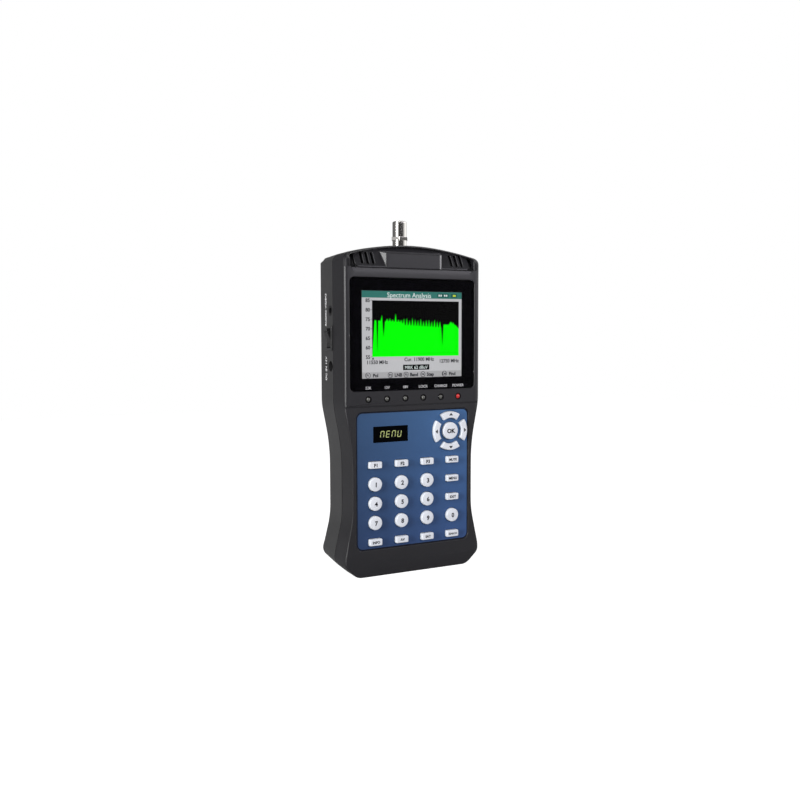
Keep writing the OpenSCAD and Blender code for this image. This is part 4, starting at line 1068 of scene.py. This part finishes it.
# Studio walls and the lights above them that gloss shows: bearing from the front, positive to the right,
# and brightness
STUDIO_WALLS = ((-180, 0.18), (-112, 0.18), (-92, 0.6), (-78, 2.2), (-56, 2.0), (-46, 0.08),
                (16, 0.06), (35, 0.22), (50, 0.95), (66, 1.15), (84, 1.3), (92, 1.8), (106, 1.5), (118, 0.7),
                (130, 0.4), (150, 0.25), (180, 0.2))
UPPER_LIGHTS = ((-180, 0.06), (-76, 0.06), (-66, 2.0), (-12, 2.0), (-4, 0.06), (78, 0.06), (88, 1.6),
                (132, 1.6), (142, 0.06), (180, 0.06))
# Brightness that the white of a ramp stands for
BRIGHTEST = 2.5
# Sines of the angles up to the top of the walls and to the lower edge of the lights above
WALL_TOP, UPPER_START = 0.42, 0.55
# Brightness of the even fill
FILL_LEVEL = 0.34


def bearing_ramp(tree, turn, levels):
    """Brightness by bearing, as a share of the brightest."""
    ramp = add_node(tree, "ShaderNodeValToRGB")
    tree.links.new(turn, ramp.inputs["Fac"])
    stops = ramp.color_ramp.elements
    for angle, _ in levels[1:-1]:
        stops.new((angle + 180) / 360)
    for stop, (_, level) in zip(stops, levels):
        stop.color = rgba((level / BRIGHTEST,) * 3)
    return ramp.outputs["Color"]


def mix_levels(tree, share, first, second):
    """The first level where the share is nothing, and the second where it is one."""
    made = add_node(tree, "ShaderNodeMix")
    for title, value in (("Factor", share), ("A", first), ("B", second)):
        tree.links.new(value, made.inputs[title])
    return made.outputs["Result"]


def studio_world():
    """White to the camera, an even fill to matt surfaces, and lit walls by bearing to gloss."""
    world = bpy.data.worlds.new("studio")
    bpy.context.scene.world = world
    world.use_nodes = True
    tree = world.node_tree
    tree.nodes.clear()
    rays = add_node(tree, "ShaderNodeLightPath").outputs
    axes = split_axes(tree, add_node(tree, "ShaderNodeTexCoord").outputs["Generated"])
    bearing = math_node(tree, "ARCTAN2", axes["X"], times(tree, axes["Y"], -1.0))
    turn = map_range(tree, bearing, -math.pi, math.pi, 0.0, 1.0)
    above = map_range(tree, axes["Z"], WALL_TOP, UPPER_START, 0.0, 1.0)
    walls = bearing_ramp(tree, turn, STUDIO_WALLS)
    upper = bearing_ramp(tree, turn, UPPER_LIGHTS)
    glossy = times(tree, mix_levels(tree, above, walls, upper), BRIGHTEST)
    plain = math_node(tree, "MAXIMUM", rays["Is Camera Ray"], FILL_LEVEL)
    background = add_node(tree, "ShaderNodeBackground", {"Color": (1.0, 1.0, 1.0, 1.0)})
    tree.links.new(mix_levels(tree, rays["Is Glossy Ray"], plain, glossy), background.inputs["Strength"])
    tree.links.new(background.outputs[0], add_node(tree, "ShaderNodeOutputWorld").inputs["Surface"])


# Floor: its colour, the glow that the camera sees, its half width and how far it lies under the foot
FLOOR_PAPER, FLOOR_GLOW = (0.52, 0.52, 0.52), 0.88
FLOOR_HALF, FLOOR_DROP = 1.2, 0.05 * MM


def floor_paper():
    """Matt paper that looks white to the camera."""
    made, tree, shader = new_finish("floor_paper", roughness=0.9, specular_ior_level=0.0)
    shader.inputs["Base Color"].default_value = rgba(FLOOR_PAPER)
    rays = add_node(tree, "ShaderNodeLightPath").outputs
    glow = add_node(tree, "ShaderNodeEmission")
    tree.links.new(times(tree, rays["Is Camera Ray"], FLOOR_GLOW), glow.inputs["Strength"])
    both = add_node(tree, "ShaderNodeAddShader")
    tree.links.new(shader.outputs[0], both.inputs[0])
    tree.links.new(glow.outputs[0], both.inputs[1])
    tree.links.new(both.outputs[0], tree.nodes["Material Output"].inputs["Surface"])
    return made


def pale_floor():
    """A pale floor that keeps a faint shadow."""
    bm = bmesh.new()
    bmesh.ops.create_grid(bm, x_segments=1, y_segments=1, size=FLOOR_HALF,
                          matrix=Matrix.Translation((0.0, 0.0, -FLOOR_DROP)))
    mesh = mesh_from(bm, "floor")
    floor = bpy.data.objects.new("floor", mesh)
    bpy.context.scene.collection.objects.link(floor)
    mesh.materials.append(floor_paper())


for node_name in nodes:
    dress_node(node_name)
screen_picture()
digit_characters()
key_legends()
panel_groove()
lamp_labels()
lamp_collars()
side_words()
aerial_socket()

photo_camera()
studio_world()
pale_floor()
for lamp_settings in SOFT_LAMPS:
    soft_lamp(*lamp_settings)
bpy.context.scene.view_settings.view_transform = "Standard"
